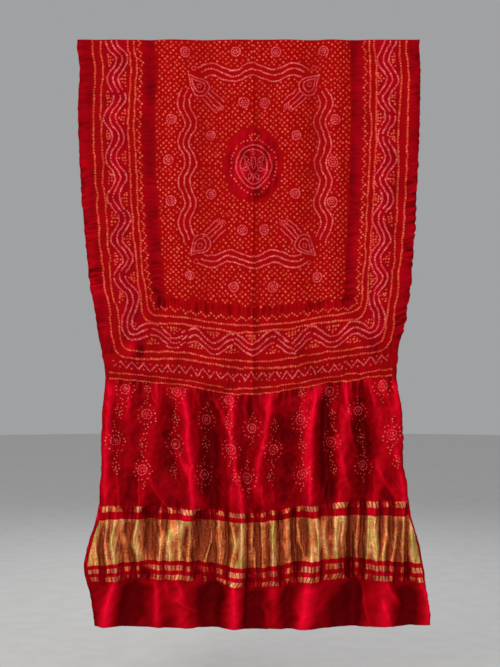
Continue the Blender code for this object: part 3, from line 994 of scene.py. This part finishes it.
def flower_creases():
    """Creases that run out from each knotted flower on the free silk."""
    x, down = grid_x / MM, grid_down / MM
    total = np.zeros_like(x)
    for n, (fx, hung) in enumerate(BIG_FLOWERS_MM):
        fd = max(float(level_of(fx, hung)), 764.0)
        near = (np.abs(x - fx) < 62) & (np.abs(down - fd) < 62)
        px, pd = x[near] - fx, down[near] - fd
        r, a = np.hypot(px, pd), np.arctan2(pd, px)
        spoke = ridged(a * 3.2 + n * 7.1, r / 60, 61 + n)
        window = ramp(r, 9, 20) * np.exp(-np.clip(r - 18, 0, None) / 17.0)
        total[near] += (spoke - 0.6) * window * 1.2
        total[near] += np.exp(-((r / 17.0) ** 2)) * 1.6
    return total * MM * ramp(down, 752, 762)


def pressed_crease():
    """The hollow beside the middle crease, where the folded cloth was pulled up for tying."""
    x, down = grid_x / MM, grid_down / MM
    depth = 2.3 * (0.45 + 0.55 * ramp(down, 60, 110)) * (1 - ramp(down, 735, 765))
    depth = depth * (1 - 0.45 * between(down, 190, 372, 12))
    width = np.where(x < 5.5, 4.5, 9.5)
    return -depth * np.exp(-(((x - 5.5) / width) ** 2)) * MM


def dent():
    """The loose bulge and its dark hollow near the lower left corner of the border."""
    x, down = grid_x / MM, grid_down / MM
    bulge = 3.5 * np.exp(-(((x + 262) / 22) ** 2) - (((down - 682) / 18) ** 2))
    hollow = -4.0 * np.exp(-(((x + 246) / 12) ** 2) - (((down - 684) / 17) ** 2))
    return (bulge + hollow) * MM


relief = np.zeros_like(grid_x)
pucker(relief)
pleats, tied = gathers()
pleats_and_crumples = pleats + crumples() + flower_creases() + dent() + pressed_crease()
relief += pleats_and_crumples

# The selvedges' small scallops, by level. They fade into the cloth.
x_mm, down_mm, from_l, from_r = side_distances()
scallop = (np.abs(noise(rows / MM / 21.0, 0.5, 51)) - 0.25) * 5.0
scallop_right = (np.abs(noise(rows / MM / 19.0, 0.5, 52)) - 0.25) * 7.0
where = np.interp(rows / MM, (0, 300, 420, 700, 760, 1290), (0.5, 0.7, 1.0, 1.0, 0.3, 0.4))
shift = (
    -(scallop * where)[:, None] * np.exp(-from_l / 18.0)
    + (scallop_right * where)[:, None] * np.exp(-from_r / 18.0)
) * MM

base_x = grid_x + shift
stands = stand_out(grid_x, grid_down) + short_folds(grid_x, grid_down)
base_y = -stands
base_z = -(grid_down + drop_at(grid_x, grid_down))
# the stiff gold band's edges step up and down a little from fold to fold
steps = noise(x_mm / 27.0, 0.5, 55) * 5.0 + noise(x_mm / 12.0, 0.5, 56) * 2.2
base_z -= steps * MM * ramp(down_mm, 985, 1035) * (1 - 0.6 * ramp(down_mm, 1186, 1230))
base = np.stack([base_x, base_y, base_z], axis=-1)


def softened(field, reach_down, reach_across):
    """A soft average over the neighbouring places. Millimetres."""
    for axis, reach in ((0, reach_down), (1, reach_across)):
        k = max(1, int(round(reach / 1.55)))
        for _ in range(2):
            padded = np.concatenate([np.repeat(np.take(field, [0], axis), k + 1, axis), field,
                                     np.repeat(np.take(field, [-1], axis), k, axis)], axis)
            total = np.cumsum(padded, axis=axis)
            n = field.shape[axis]
            high = np.take(total, np.arange(2 * k + 1, 2 * k + 1 + n), axis)
            low = np.take(total, np.arange(0, n), axis)
            field = (high - low) / (2 * k + 1)
    return field


def ground_look_with_painted_light():
    """How light the red is painted at each place, mostly painted light and shade from the relief with uneven dye and
    zone tints; how scarlet it is; and how loose and glossy the silk lies.
    """
    x, down, dl, dr = side_distances()
    out = (stands + pleats_and_crumples) / MM
    main = out - softened(out, 60, 46)
    fine = out - softened(out, 20, 8)
    free = ramp(down, 745, 775)
    tied = 1 - free
    gold = between(down, 1012, 1190, 8)
    below_field = between(down, 573, 597, 4) * ramp(dl, 150, 170) * ramp(dr, 132, 152)
    side_band = np.maximum(between(dl, 141, 170, 3), between(dr, 126, 152, 3)) * (1 - ramp(down, 596, 604))
    left_selvedge = (1 - ramp(dl, 26, 34)) * tied * (1 - ramp(down, 690, 704))
    right_selvedge = (1 - ramp(dr, 20, 27)) * tied * (1 - ramp(down, 690, 704))
    selvedge = np.maximum(left_selvedge, right_selvedge)
    end = ramp(down, 1186, 1204)
    # painted light and shade from the relief: the red is painted lighter on the crests and darker in the hollows, the
    # broad folds and the fine ones each with their own weight in each zone
    by_main = tied * 0.020 + free * (0.025 + 0.020 * end - 0.009 * gold)
    by_fine = tied * (0.17 - 0.05 * side_band) + free * (0.040 + 0.022 * gold)
    by_fine = by_fine + free * 0.05 * np.exp(-np.abs(down - 768) / 22.0)
    painted_light_tone = 0.345 + main * by_main + np.clip(fine, -3.5, 3.0) * by_fine
    # in the gold, upright noise streaks that shift the painted light and shade
    painted_light_tone += gold * (0.10 * noise(x / 10, down / 22, 82) + 0.15 * noise(x / 4.2, down / 38, 87) - 0.02) - 0.05 * end
    painted_light_tone += 0.05 * noise(x / 70, down / 90, 81)
    painted_light_tone += (0.03 * (x > 0) - 0.03) * side_band - 0.12 * below_field - 0.09 * right_selvedge
    painted_light_tone += (0.05 * ramp(down, 80, 250) - 0.15) * left_selvedge
    # painted highlight along the free silk's rolled edges
    painted_light_tone += 0.13 * free * np.maximum(1 - ramp(dl, 8, 24), 1 - ramp(dr, 8, 24)) - 0.02 * free
    # painted light and shade in stripes for the very fine gathers between the knots: level at the sides, upright lower
    # down
    sides = np.maximum(1 - ramp(dl, 150, 172), 1 - ramp(dr, 134, 154)) * (1 - ramp(down, 590, 625))
    painted_light_tone += 0.10 * tied * sides * noise(x / 26, down / 4.0, 85)
    painted_light_tone += 0.13 * tied * ramp(down, 560, 600) * (1 - sides) * noise(x / 3.8, down / 26, 84)
    painted_light_tone += (-0.045 * between(dl, 34, 136, 5) - 0.015 * between(down, 604, 730, 8)) * tied
    hx, hd, hw, hh = HALO_MM
    halo = 1 - ramp(np.hypot((x - hx) / hw, (down - hd) / hh), 0.86, 1.02)
    aside = 1 - 0.8 * np.exp(-(((x - 6) / 13) ** 2))
    # painted light and shade of soft folds in the plain halo round the medallion, weaker beside the crease
    painted_light_tone += halo * (0.42 * aside * noise(x / 14 + down / 70, down / 45, 83) - 0.03)
    painted_light_tone += 0.09 * tied * (1 - halo) * noise(x / 22, down / 75, 86)
    # painted highlight beside the middle crease on its left, and painted shade along the crease
    crease = tied * ramp(down, 40, 100) * (1 - 0.55 * halo)
    painted_light_tone += crease * (0.05 * np.exp(-(((x + 12) / 14) ** 2)) - 0.07 * np.exp(-(((x - 8) / 8) ** 2)))
    field = ramp(dl, 168, 174) * ramp(dr, 150, 156) * (1 - ramp(down, 568, 578)) * (1 - halo)
    waves = between(dl, 60, 106, 6) + between(dr, 50, 95, 6)
    warm = np.clip(field + 0.55 * tied * (1 - side_band) * (1 - selvedge) * (1 - np.clip(waves, 0, 1)), 0, 1)
    warm = warm * tied * (1 - halo)
    loose = np.clip(free + 0.35 * selvedge + 0.35 * side_band + 0.3 * halo + 0.35 * below_field, 0, 1)
    return np.stack([np.clip(painted_light_tone, 0, 1), warm, loose], axis=-1)


def grid_normals(points):
    across = np.gradient(points, axis=1)
    along = np.gradient(points, axis=0)
    n = np.cross(along, across)
    n /= np.linalg.norm(n, axis=-1, keepdims=True)
    if n[..., 1].mean() > 0:
        n = -n
    return n


place = base + grid_normals(base) * relief[..., None]

# ------------------------------------------------- hems and selvedge turns

HEM_DEPTH = 0.011        # the hems are turned back this far
HEM_GAP = 0.0011         # and lie this far behind the face
SELVEDGE_DEPTH = 0.0045
HEM_ROWS = (0.0, 0.35, 0.75, 1.0, 0.85, 0.5)     # how far behind each row of the turn lies, then its inner edge


def turned_rows(edge, inner, normals, depth):
    """Rows of points that carry an edge round to the back: edge is the last row, inner points from it into the cloth."""
    turned = []
    steps = ((0.0006, 0.35), (0.0004, 1.0), (-depth * 0.33, 1.15), (-depth * 0.66, 1.1), (-depth, 0.8))
    for out, behind in steps:
        turned.append(edge - inner * out - normals * HEM_GAP * behind)
    return turned


def add_turns(points):
    """Adds the turned hems above and below, and the selvedges' turns at the sides."""
    normals = grid_normals(points)

    def inward(a, b):
        d = b - a
        return d / np.linalg.norm(d, axis=-1, keepdims=True)

    top = turned_rows(points[0], inward(points[0], points[6]), normals[0], HEM_DEPTH)
    low = turned_rows(points[-1], inward(points[-1], points[-7]), normals[-1], HEM_DEPTH)
    tall = np.concatenate([np.array(top[::-1]), points, np.array(low)])
    back = grid_normals(tall)
    left = turned_rows(tall[:, 0], inward(tall[:, 0], tall[:, 4]), normals_for_sides(points, tall, 0), SELVEDGE_DEPTH)
    right = turned_rows(tall[:, -1], inward(tall[:, -1], tall[:, -5]), normals_for_sides(points, tall, -1), SELVEDGE_DEPTH)
    wide = np.concatenate(
        [np.stack(left[::-1], axis=1), tall, np.stack(right, axis=1)], axis=1
    )
    return wide


def normals_for_sides(points, tall, k):
    """The face's normals at a selvedge, repeated for the hems' own rows."""
    n = grid_normals(points)[:, k]
    extra = (len(tall) - len(points)) // 2
    return np.concatenate([np.repeat(n[:1], extra, 0), n, np.repeat(n[-1:], extra, 0)])


TURN = 5                 # rows and columns in each turn
whole = add_turns(place)
n_rows, n_cols = whole.shape[:2]
which, dot_centre = nearest_dots()
ground = ground_look_with_painted_light()

# ------------------------------------------------------------ the strips

# The cloth is one piece, shown here as strips that meet on shared rows. It is shown as strips
# only because of the size that one mesh may have.
STRIPS = (
    # name              from     to
    ("cloth_head",      None,    0.262),
    ("cloth_field",     0.262,   0.524),
    ("cloth_border",    0.524,   0.786),
    ("cloth_flowers",   0.786,   1.030),
    ("cloth_zari_end",  1.030,   None),
)
SILK_SLOT, BAND_SLOT, LINE_SLOT = 0, 1, 2


def face_kinds():
    """Which material each row of faces has."""
    mid = (rows[:-1] + rows[1:]) / 2 / MM
    kinds = np.full(len(mid), SILK_SLOT)
    for _, low, high, kind in ZARI_MM:
        kinds[(mid > low) & (mid < high)] = BAND_SLOT if kind == "band" else LINE_SLOT
    return kinds


def all_normals():
    n = grid_normals(whole)
    return n


normals = all_normals()
row_of = np.clip(np.arange(n_rows) - TURN, 0, len(rows) - 1)
col_of = np.clip(np.arange(n_cols) - TURN, 0, COLUMNS)
flat_s = np.broadcast_to(share_across[col_of][None, :] * CLOTH_WIDTH, (n_rows, n_cols)).copy()
flat_t = np.broadcast_to(rows[row_of][:, None], flat_s.shape).copy()
kinds = face_kinds()

# Each kind of dot has four dyes, from one dip to the next.
DYES = (
    ((0.58, 0.062, 0.030), (0.62, 0.082, 0.042), (0.54, 0.048, 0.022), (0.66, 0.115, 0.060)),   # YELLOW
    ((0.57, 0.062, 0.070), (0.61, 0.086, 0.092), (0.53, 0.048, 0.056), (0.65, 0.130, 0.130)),   # PALE
    ((0.52, 0.085, 0.050), (0.56, 0.118, 0.072), (0.48, 0.058, 0.030), (0.60, 0.155, 0.095)),   # FAINT
    ((0.57, 0.050, 0.028), (0.61, 0.066, 0.038), (0.53, 0.038, 0.022), (0.64, 0.090, 0.052)),   # FIELD
    ((0.56, 0.052, 0.062), (0.60, 0.070, 0.080), (0.52, 0.040, 0.050), (0.63, 0.105, 0.110)),   # ROSE
)


def dot_colours():
    out = np.ones((len(dot_table), 4))
    pick = (dot_table[:, 7] * 4).astype(int) % 4
    out[:, :3] = np.array(DYES)[dot_table[:, 5].astype(int), pick]
    return out


dyes = dot_colours()


def make_strip(name, low, high, mats):
    j0 = 0 if low is None else int(np.argmin(np.abs(rows - low))) + TURN
    j1 = n_rows - 1 if high is None else int(np.argmin(np.abs(rows - high))) + TURN
    nj, ni = j1 - j0 + 1, n_cols
    points = whole[j0:j1 + 1].reshape(-1, 3)
    index = np.arange(nj * ni).reshape(nj, ni)
    quads = np.stack([index[:-1, :-1], index[1:, :-1], index[1:, 1:], index[:-1, 1:]], axis=-1).reshape(-1, 4)
    mesh = bpy.data.meshes.new(name)
    mesh.vertices.add(len(points))
    mesh.vertices.foreach_set("co", points.astype(np.float32).ravel())
    mesh.loops.add(len(quads) * 4)
    mesh.loops.foreach_set("vertex_index", quads.astype(np.int32).ravel())
    mesh.polygons.add(len(quads))
    mesh.polygons.foreach_set("loop_start", np.arange(0, len(quads) * 4, 4, dtype=np.int32))
    for m in mats:
        mesh.materials.append(m)
    fr = np.arange(j0, j1) - TURN
    fc = np.arange(ni - 1) - TURN
    on_row, on_col = (fr >= 0) & (fr < len(rows) - 1), (fc >= 0) & (fc < COLUMNS)
    kind = np.where(on_row, kinds[np.clip(fr, 0, len(rows) - 2)], SILK_SLOT)
    mesh.polygons.foreach_set("material_index", np.repeat(kind, ni - 1).astype(np.int32))
    mesh.update(calc_edges=True)
    mesh.shade_smooth()

    # flat cloth coordinates, and a flat UV map over the strip
    s, t = flat_s[j0:j1 + 1].ravel(), flat_t[j0:j1 + 1].ravel()
    flat = mesh.attributes.new("flat", "FLOAT_VECTOR", "POINT")
    flat.data.foreach_set("vector", np.stack([s, t, np.zeros_like(s)], 1).astype(np.float32).ravel())
    look = mesh.attributes.new("ground", "FLOAT_VECTOR", "POINT")
    look.data.foreach_set("vector", ground[row_of[j0:j1 + 1]][:, col_of].reshape(-1, 3).astype(np.float32).ravel())
    uv = mesh.uv_layers.new(name="OFBake")
    u = np.broadcast_to((np.arange(ni) / (ni - 1))[None, :], (nj, ni)).ravel()
    v = np.broadcast_to((1 - np.arange(nj) / (nj - 1))[:, None], (nj, ni)).ravel()
    uv.uv.foreach_set("vector", np.stack([0.002 + 0.996 * u, 0.002 + 0.996 * v], 1)[quads.ravel()].astype(np.float32).ravel())

    # each face's corners, measured from its nearest dot in that dot's own measure
    near = np.full((nj - 1, ni - 1), -1)
    rr, cc = np.nonzero(on_row)[0], np.nonzero(on_col)[0]
    near[np.ix_(rr, cc)] = which[np.ix_(fr[rr], fc[cc])]
    has = near.ravel() >= 0
    dot = np.clip(near.ravel(), 0, None)
    face_r = np.repeat(fr, ni - 1)
    face_c = np.tile(fc, nj - 1)
    corner = np.zeros((len(quads), 4, 3), np.float32)
    colour = np.zeros((len(quads), 4, 4), np.float32)
    cos, sin = np.cos(dot_table[dot, 4]), np.sin(dot_table[dot, 4])
    for k, (dj, di) in enumerate(((0, 0), (1, 0), (1, 1), (0, 1))):
        at = rows[np.clip(face_r + dj, 0, len(rows) - 1)]
        dy = at - dot_centre[dot]
        dx = (face_c + di - dot_col[dot]) * dot_step[dot]
        corner[:, k, 0] = np.where(has, (dx * cos + dy * sin) / (dot_table[dot, 2] * MM), 9.0)
        corner[:, k, 1] = np.where(has, (dy * cos - dx * sin) / (dot_table[dot, 3] * MM), 9.0)
        corner[:, k, 2] = dot_table[dot, 7]
        colour[:, k] = dyes[dot]
    a = mesh.attributes.new("dot_place", "FLOAT_VECTOR", "CORNER")
    a.data.foreach_set("vector", corner.ravel())
    a = mesh.attributes.new("dot_dye", "FLOAT_COLOR", "CORNER")
    a.data.foreach_set("color", colour.ravel())
    mesh.normals_split_custom_set_from_vertices(normals[j0:j1 + 1].reshape(-1, 3).astype(np.float32))
    o = bpy.data.objects.new(name, mesh)
    bpy.context.scene.collection.objects.link(o)
    return o


# ---------------------------------------------------------- the materials

class Nodes:
    """A little help to write a material's nodes as they read."""

    def __init__(self, name):
        self.material = bpy.data.materials.new(name)
        self.material.use_nodes = True
        self.tree = self.material.node_tree
        self.shader = self.tree.nodes["Principled BSDF"]

    def new(self, kind, **settings):
        n = self.tree.nodes.new(kind)
        for key, value in settings.items():
            setattr(n, key, value)
        return n

    def put(self, socket, value):
        if isinstance(value, bpy.types.NodeSocket):
            self.tree.links.new(value, socket)
        else:
            socket.default_value = value

    def math(self, operation, a, b=0.0, c=0.0, clamp=False):
        n = self.new("ShaderNodeMath", operation=operation, use_clamp=clamp)
        for socket, value in zip(n.inputs, (a, b, c)):
            self.put(socket, value)
        return n.outputs[0]

    def span(self, value, low, high, to_low=0.0, to_high=1.0, smooth_step=True):
        n = self.new("ShaderNodeMapRange", interpolation_type="SMOOTHSTEP" if smooth_step else "LINEAR")
        for socket, v in zip(n.inputs, (value, low, high, to_low, to_high)):
            self.put(socket, v)
        return n.outputs[0]

    def mix(self, share, a, b, blend="MIX"):
        n = self.new("ShaderNodeMix", data_type="RGBA", blend_type=blend)
        self.put(n.inputs[0], share)
        self.put(n.inputs[6], a)
        self.put(n.inputs[7], b)
        return n.outputs[2]

    def attribute(self, name, output="Vector"):
        return self.new("ShaderNodeAttribute", attribute_name=name).outputs[output]

    def scaled(self, vector, x, y, z=1.0):
        n = self.new("ShaderNodeVectorMath", operation="MULTIPLY")
        self.put(n.inputs[0], vector)
        n.inputs[1].default_value = (x, y, z)
        return n.outputs[0]

    def noise(self, vector, scale, detail=2.0, rough=0.5):
        n = self.new("ShaderNodeTexNoise")
        self.put(n.inputs["Vector"], vector)
        n.inputs["Scale"].default_value = scale
        n.inputs["Detail"].default_value = detail
        n.inputs["Roughness"].default_value = rough
        return n.outputs[0]

    def parts(self, vector):
        n = self.new("ShaderNodeSeparateXYZ")
        self.put(n.inputs[0], vector)
        return n.outputs

    def bump(self, height, strength, distance, normal=None):
        n = self.new("ShaderNodeBump")
        n.inputs["Strength"].default_value = strength
        n.inputs["Distance"].default_value = distance
        self.put(n.inputs["Height"], height)
        if normal is not None:
            self.put(n.inputs["Normal"], normal)
        return n.outputs[0]


# the darkest red below is painted shade for the relief's hollows, and the brightest a painted highlight for its crests
CRIMSON_PAINTED_SHADE = (0.085, 0.0, 0.0008, 1.0)
CRIMSON = (0.31, 0.0004, 0.0038, 1.0)
CRIMSON_PAINTED_HIGHLIGHT = (0.66, 0.0018, 0.0180, 1.0)
SCARLET = (0.275, 0.0012, 0.0005, 1.0)


def red_silk():
    m = Nodes("red_silk")
    flat = m.attribute("flat")
    place_ = m.attribute("dot_place")
    dye = m.attribute("dot_dye", "Color")
    at = m.parts(place_)
    # a dot's edge is uneven, because the dye creeps under the thread
    creep = m.noise(flat, 900.0, 2.0)
    far = m.math("SQRT", m.math("ADD", m.math("MULTIPLY", at[0], at[0]), m.math("MULTIPLY", at[1], at[1])))
    far = m.math("ADD", far, m.math("MULTIPLY", m.math("SUBTRACT", creep, 0.5), 0.5))
    dyed = m.span(far, 1.12, 0.72)
    rim = m.span(far, 1.45, 0.95)
    heart = m.span(far, 0.30, 0.12)
    # the silk's red, with painted shade in the relief's hollows and a painted highlight on its crests, and uneven from
    # the dye bath
    painted_light_tone, warm, loose = m.parts(m.attribute("ground"))
    cloud = m.noise(flat, 14.0, 3.0, 0.55)
    painted_light_tone = m.math("ADD", painted_light_tone, m.math("MULTIPLY", m.math("SUBTRACT", cloud, 0.5), 0.22))
    red = m.mix(m.span(painted_light_tone, 0.0, 0.42, 0.0, 1.0, False), CRIMSON_PAINTED_SHADE, CRIMSON)
    red = m.mix(m.span(painted_light_tone, 0.42, 0.95, 0.0, 1.0, False), red, CRIMSON_PAINTED_HIGHLIGHT)
    red = m.mix(m.math("MULTIPLY", warm, 0.8), red, SCARLET)
    red = m.mix(m.math("MULTIPLY", rim, 0.5), red, (0.36, 0.013, 0.003, 1.0))
    # painted shade: the dots' dyes are dimmed and greyed where the relief lies low
    dye = m.mix(1.0, dye, m.mix(m.span(painted_light_tone, 0.05, 0.42, 0.0, 1.0, False), (0.50, 0.42, 0.45, 1.0), (1.0, 1.0, 1.0, 1.0)), "MULTIPLY")
    colour = m.mix(dyed, red, dye)
    colour = m.mix(m.math("MULTIPLY", heart, 0.4), colour, (0.40, 0.025, 0.010, 1.0))
    p = m.shader
    m.put(p.inputs["Base Color"], colour)
    # a satin face: glossy where it lies loose, dull where it was tied
    plain = m.math("SUBTRACT", 1.0, rim, clamp=True)
    gloss = m.math("MULTIPLY", plain, m.span(loose, 0.0, 1.0, 0.25, 1.0, False))
    m.put(p.inputs["Roughness"], m.span(gloss, 0.0, 1.0, 0.64, 0.57, False))
    m.put(p.inputs["Metallic"], m.span(gloss, 0.0, 1.0, 0.05, 0.40, False))
    p.inputs["Specular IOR Level"].default_value = 0.04
    p.inputs["Specular Tint"].default_value = (1.0, 0.35, 0.45, 1.0)
    # fine satin lines and a soft unevenness of the yarn
    weft = m.noise(m.scaled(flat, 260.0, 3400.0, 1.0), 1.0, 1.0)
    slub = m.noise(m.scaled(flat, 60.0, 520.0, 1.0), 1.0, 2.0)
    n = m.bump(weft, 0.22, 0.00012)
    n = m.bump(slub, 0.25, 0.0003, n)
    crinkle = m.noise(flat, 190.0, 3.0, 0.6)
    n = m.bump(crinkle, 0.30, 0.0006, n)
    m.put(p.inputs["Normal"], n)
    return m.material


GOLD_PALE = (0.72, 0.375, 0.145, 1.0)
GOLD_GREEN = (0.46, 0.31, 0.075, 1.0)
# copper: the red warp's own stripes, and on the flanks partly painted shade
GOLD_COPPER = (0.50, 0.115, 0.034, 1.0)
# painted shade for the gold's hollows
GOLD_PAINTED_SHADE = (0.16, 0.020, 0.006, 1.0)
GOLD_LINE = (0.58, 0.175, 0.095, 1.0)


def gold_zari(name, line):
    """Gold thread on the red silk: close set in the band, in little blocks with red between in the lines.
    It keeps its gold colour on the crests; on the flanks it is painted coppery, partly the red warp showing and partly
    painted shade; in the hollows it is painted nearly all dark red, as painted shade."""
    m = Nodes(name)
    flat = m.attribute("flat")
    s, t, _ = m.parts(flat)
    painted_light_tone = m.parts(m.attribute("ground"))[0]
    rib = m.new("ShaderNodeTexWave", wave_type="BANDS", bands_direction="Y")
    m.put(rib.inputs["Vector"], flat)
    rib.inputs["Scale"].default_value = 330.0
    rib.inputs["Distortion"].default_value = 0.6
    warp = m.new("ShaderNodeTexWave", wave_type="BANDS", bands_direction="X")
    m.put(warp.inputs["Vector"], flat)
    warp.inputs["Scale"].default_value = 200.0
    warp.inputs["Distortion"].default_value = 0.4
    cloud = m.noise(m.scaled(flat, 36.0, 16.0), 1.0, 3.0, 0.6)
    worn = m.noise(m.scaled(flat, 260.0, 110.0), 1.0, 3.0, 0.65)
    painted_light_tone = m.math("ADD", painted_light_tone, m.math("MULTIPLY", m.math("SUBTRACT", worn, 0.5), 0.34))
    gold = m.mix(m.span(cloud, 0.46, 0.56), GOLD_PALE, GOLD_GREEN)
    if line:
        gold = m.mix(m.span(cloud, 0.46, 0.66), GOLD_LINE, GOLD_PALE)
    # painted light and shade from the relief: copper on the flanks, partly painted shade, and dark red in the hollows
    # as painted shade
    gold = m.mix(m.span(painted_light_tone, 0.34, 0.58), GOLD_COPPER, gold)
    gold = m.mix(m.span(painted_light_tone, 0.16, 0.36), GOLD_PAINTED_SHADE, gold)
    gold = m.mix(m.span(warp.outputs["Fac"], 0.70, 0.98, 0.0, 0.35), gold, GOLD_COPPER)
    # the selvedges carry no gold
    woven = m.math("MULTIPLY", m.span(s, 0.0085, 0.0100, 0.0, 1.0, False), m.span(s, CLOTH_WIDTH - 0.0045, CLOTH_WIDTH - 0.0060, 0.0, 1.0, False))
    if not line:
        gold = m.mix(woven, CRIMSON, gold)
    if line:
        block = m.math("FRACT", m.math("MULTIPLY", s, 1 / 0.0098))
        cut = m.math("MULTIPLY", m.span(block, 0.0, 0.14), m.span(block, 0.92, 0.72))
        # painted shade: the gold blocks show only on the relief's crests, and in the hollows the red between them is
        # painted darker
        shown = m.math("MULTIPLY", m.math("MULTIPLY", cut, woven), m.span(painted_light_tone, 0.20, 0.42))
        red_with_painted_shade = m.mix(m.span(painted_light_tone, 0.0, 0.40), (0.16, 0.0002, 0.0028, 1.0), CRIMSON)
        gold = m.mix(shown, red_with_painted_shade, gold)
    p = m.shader
    m.put(p.inputs["Base Color"], gold)
    p.inputs["Metallic"].default_value = 0.85
    p.inputs["Specular IOR Level"].default_value = 0.1
    m.put(p.inputs["Roughness"], m.span(worn, 0.3, 0.75, 0.42, 0.60, False))
    n = m.bump(rib.outputs["Fac"], 0.25, 0.0003)
    n = m.bump(warp.outputs["Fac"], 0.15, 0.0003, n)
    n = m.bump(m.noise(m.scaled(flat, 150.0, 60.0), 1.0, 3.0), 0.45, 0.0014, n)
    m.put(p.inputs["Normal"], n)
    return m.material


materials = (red_silk(), gold_zari("gold_zari_band", False), gold_zari("gold_zari_lines", True))

# ------------------------------------------------------- camera and studio

VIEW_CENTRE = Vector((-0.0044, 0.0, -0.6457))
VIEW_HEIGHT = 1.467      # what the frame's height takes in at the cloth
CAMERA_DISTANCE = 3.0


def make_camera():
    data = bpy.data.cameras.new("camera")
    data.sensor_width = 36.0
    data.lens = 36.0 * CAMERA_DISTANCE / VIEW_HEIGHT
    camera = bpy.data.objects.new("camera", data)
    camera.location = VIEW_CENTRE + Vector((0, -CAMERA_DISTANCE, 0))
    camera.rotation_euler = (math.pi / 2, 0, 0)
    bpy.context.scene.collection.objects.link(camera)
    bpy.context.scene.camera = camera


def area_light(name, size, power, place, aim, colour=(1, 1, 1)):
    data = bpy.data.lights.new(name, "AREA")
    data.shape = "RECTANGLE"
    data.size, data.size_y = size
    data.energy = power
    data.color = colour
    o = bpy.data.objects.new(name, data)
    o.location = place
    o.rotation_euler = (Vector(aim) - Vector(place)).to_track_quat("-Z", "Y").to_euler()
    bpy.context.scene.collection.objects.link(o)


def make_studio():
    world = bpy.data.worlds.new("studio")
    bpy.context.scene.world = world
    world.use_nodes = True
    back = world.node_tree.nodes["Background"]
    back.inputs[0].default_value = (0.93, 0.94, 0.96, 1)
    back.inputs[1].default_value = 0.38
    area_light("key", (0.9, 1.6), 62, (-1.1, -2.9, -0.1), (0, 0, -0.65), (1.0, 0.99, 0.97))
    area_light("fill", (0.5, 1.6), 14, (1.6, -2.4, -0.3), (0, 0, -0.65), (0.97, 0.98, 1.0))
    area_light("top", (1.6, 0.8), 14, (0.0, -0.9, 1.6), (0, 0, -0.6))
    area_light("back", (2.0, 1.2), 22, (0.0, 2.6, 1.0), (0, 0, -0.55), (0.98, 0.99, 1.0))
    bpy.ops.mesh.primitive_circle_add(vertices=96, radius=9.0, fill_type="NGON", location=(0, 0, -1.52))
    floor = bpy.context.object
    floor.name = "floor"
    m = Nodes("studio_floor")
    grain = m.noise(m.new("ShaderNodeTexCoord").outputs["Object"], 14.0, 3.0)
    m.put(m.shader.inputs["Base Color"], m.mix(m.span(grain, 0.3, 0.7), (0.78, 0.775, 0.76, 1), (0.74, 0.735, 0.72, 1)))
    m.shader.inputs["Roughness"].default_value = 0.8
    floor.data.materials.append(m.material)


make_camera()
make_studio()
bpy.context.scene.view_settings.view_transform = "Standard"

# ------------------------------------------------------------- assembling

strips = []
for name, low, high in STRIPS:
    o = make_strip(name, low, high, materials)
    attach(o, "root")
    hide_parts("bandhani_cloth")
    strips.append(o)
    print(name, len(o.data.polygons) * 2, "triangles")
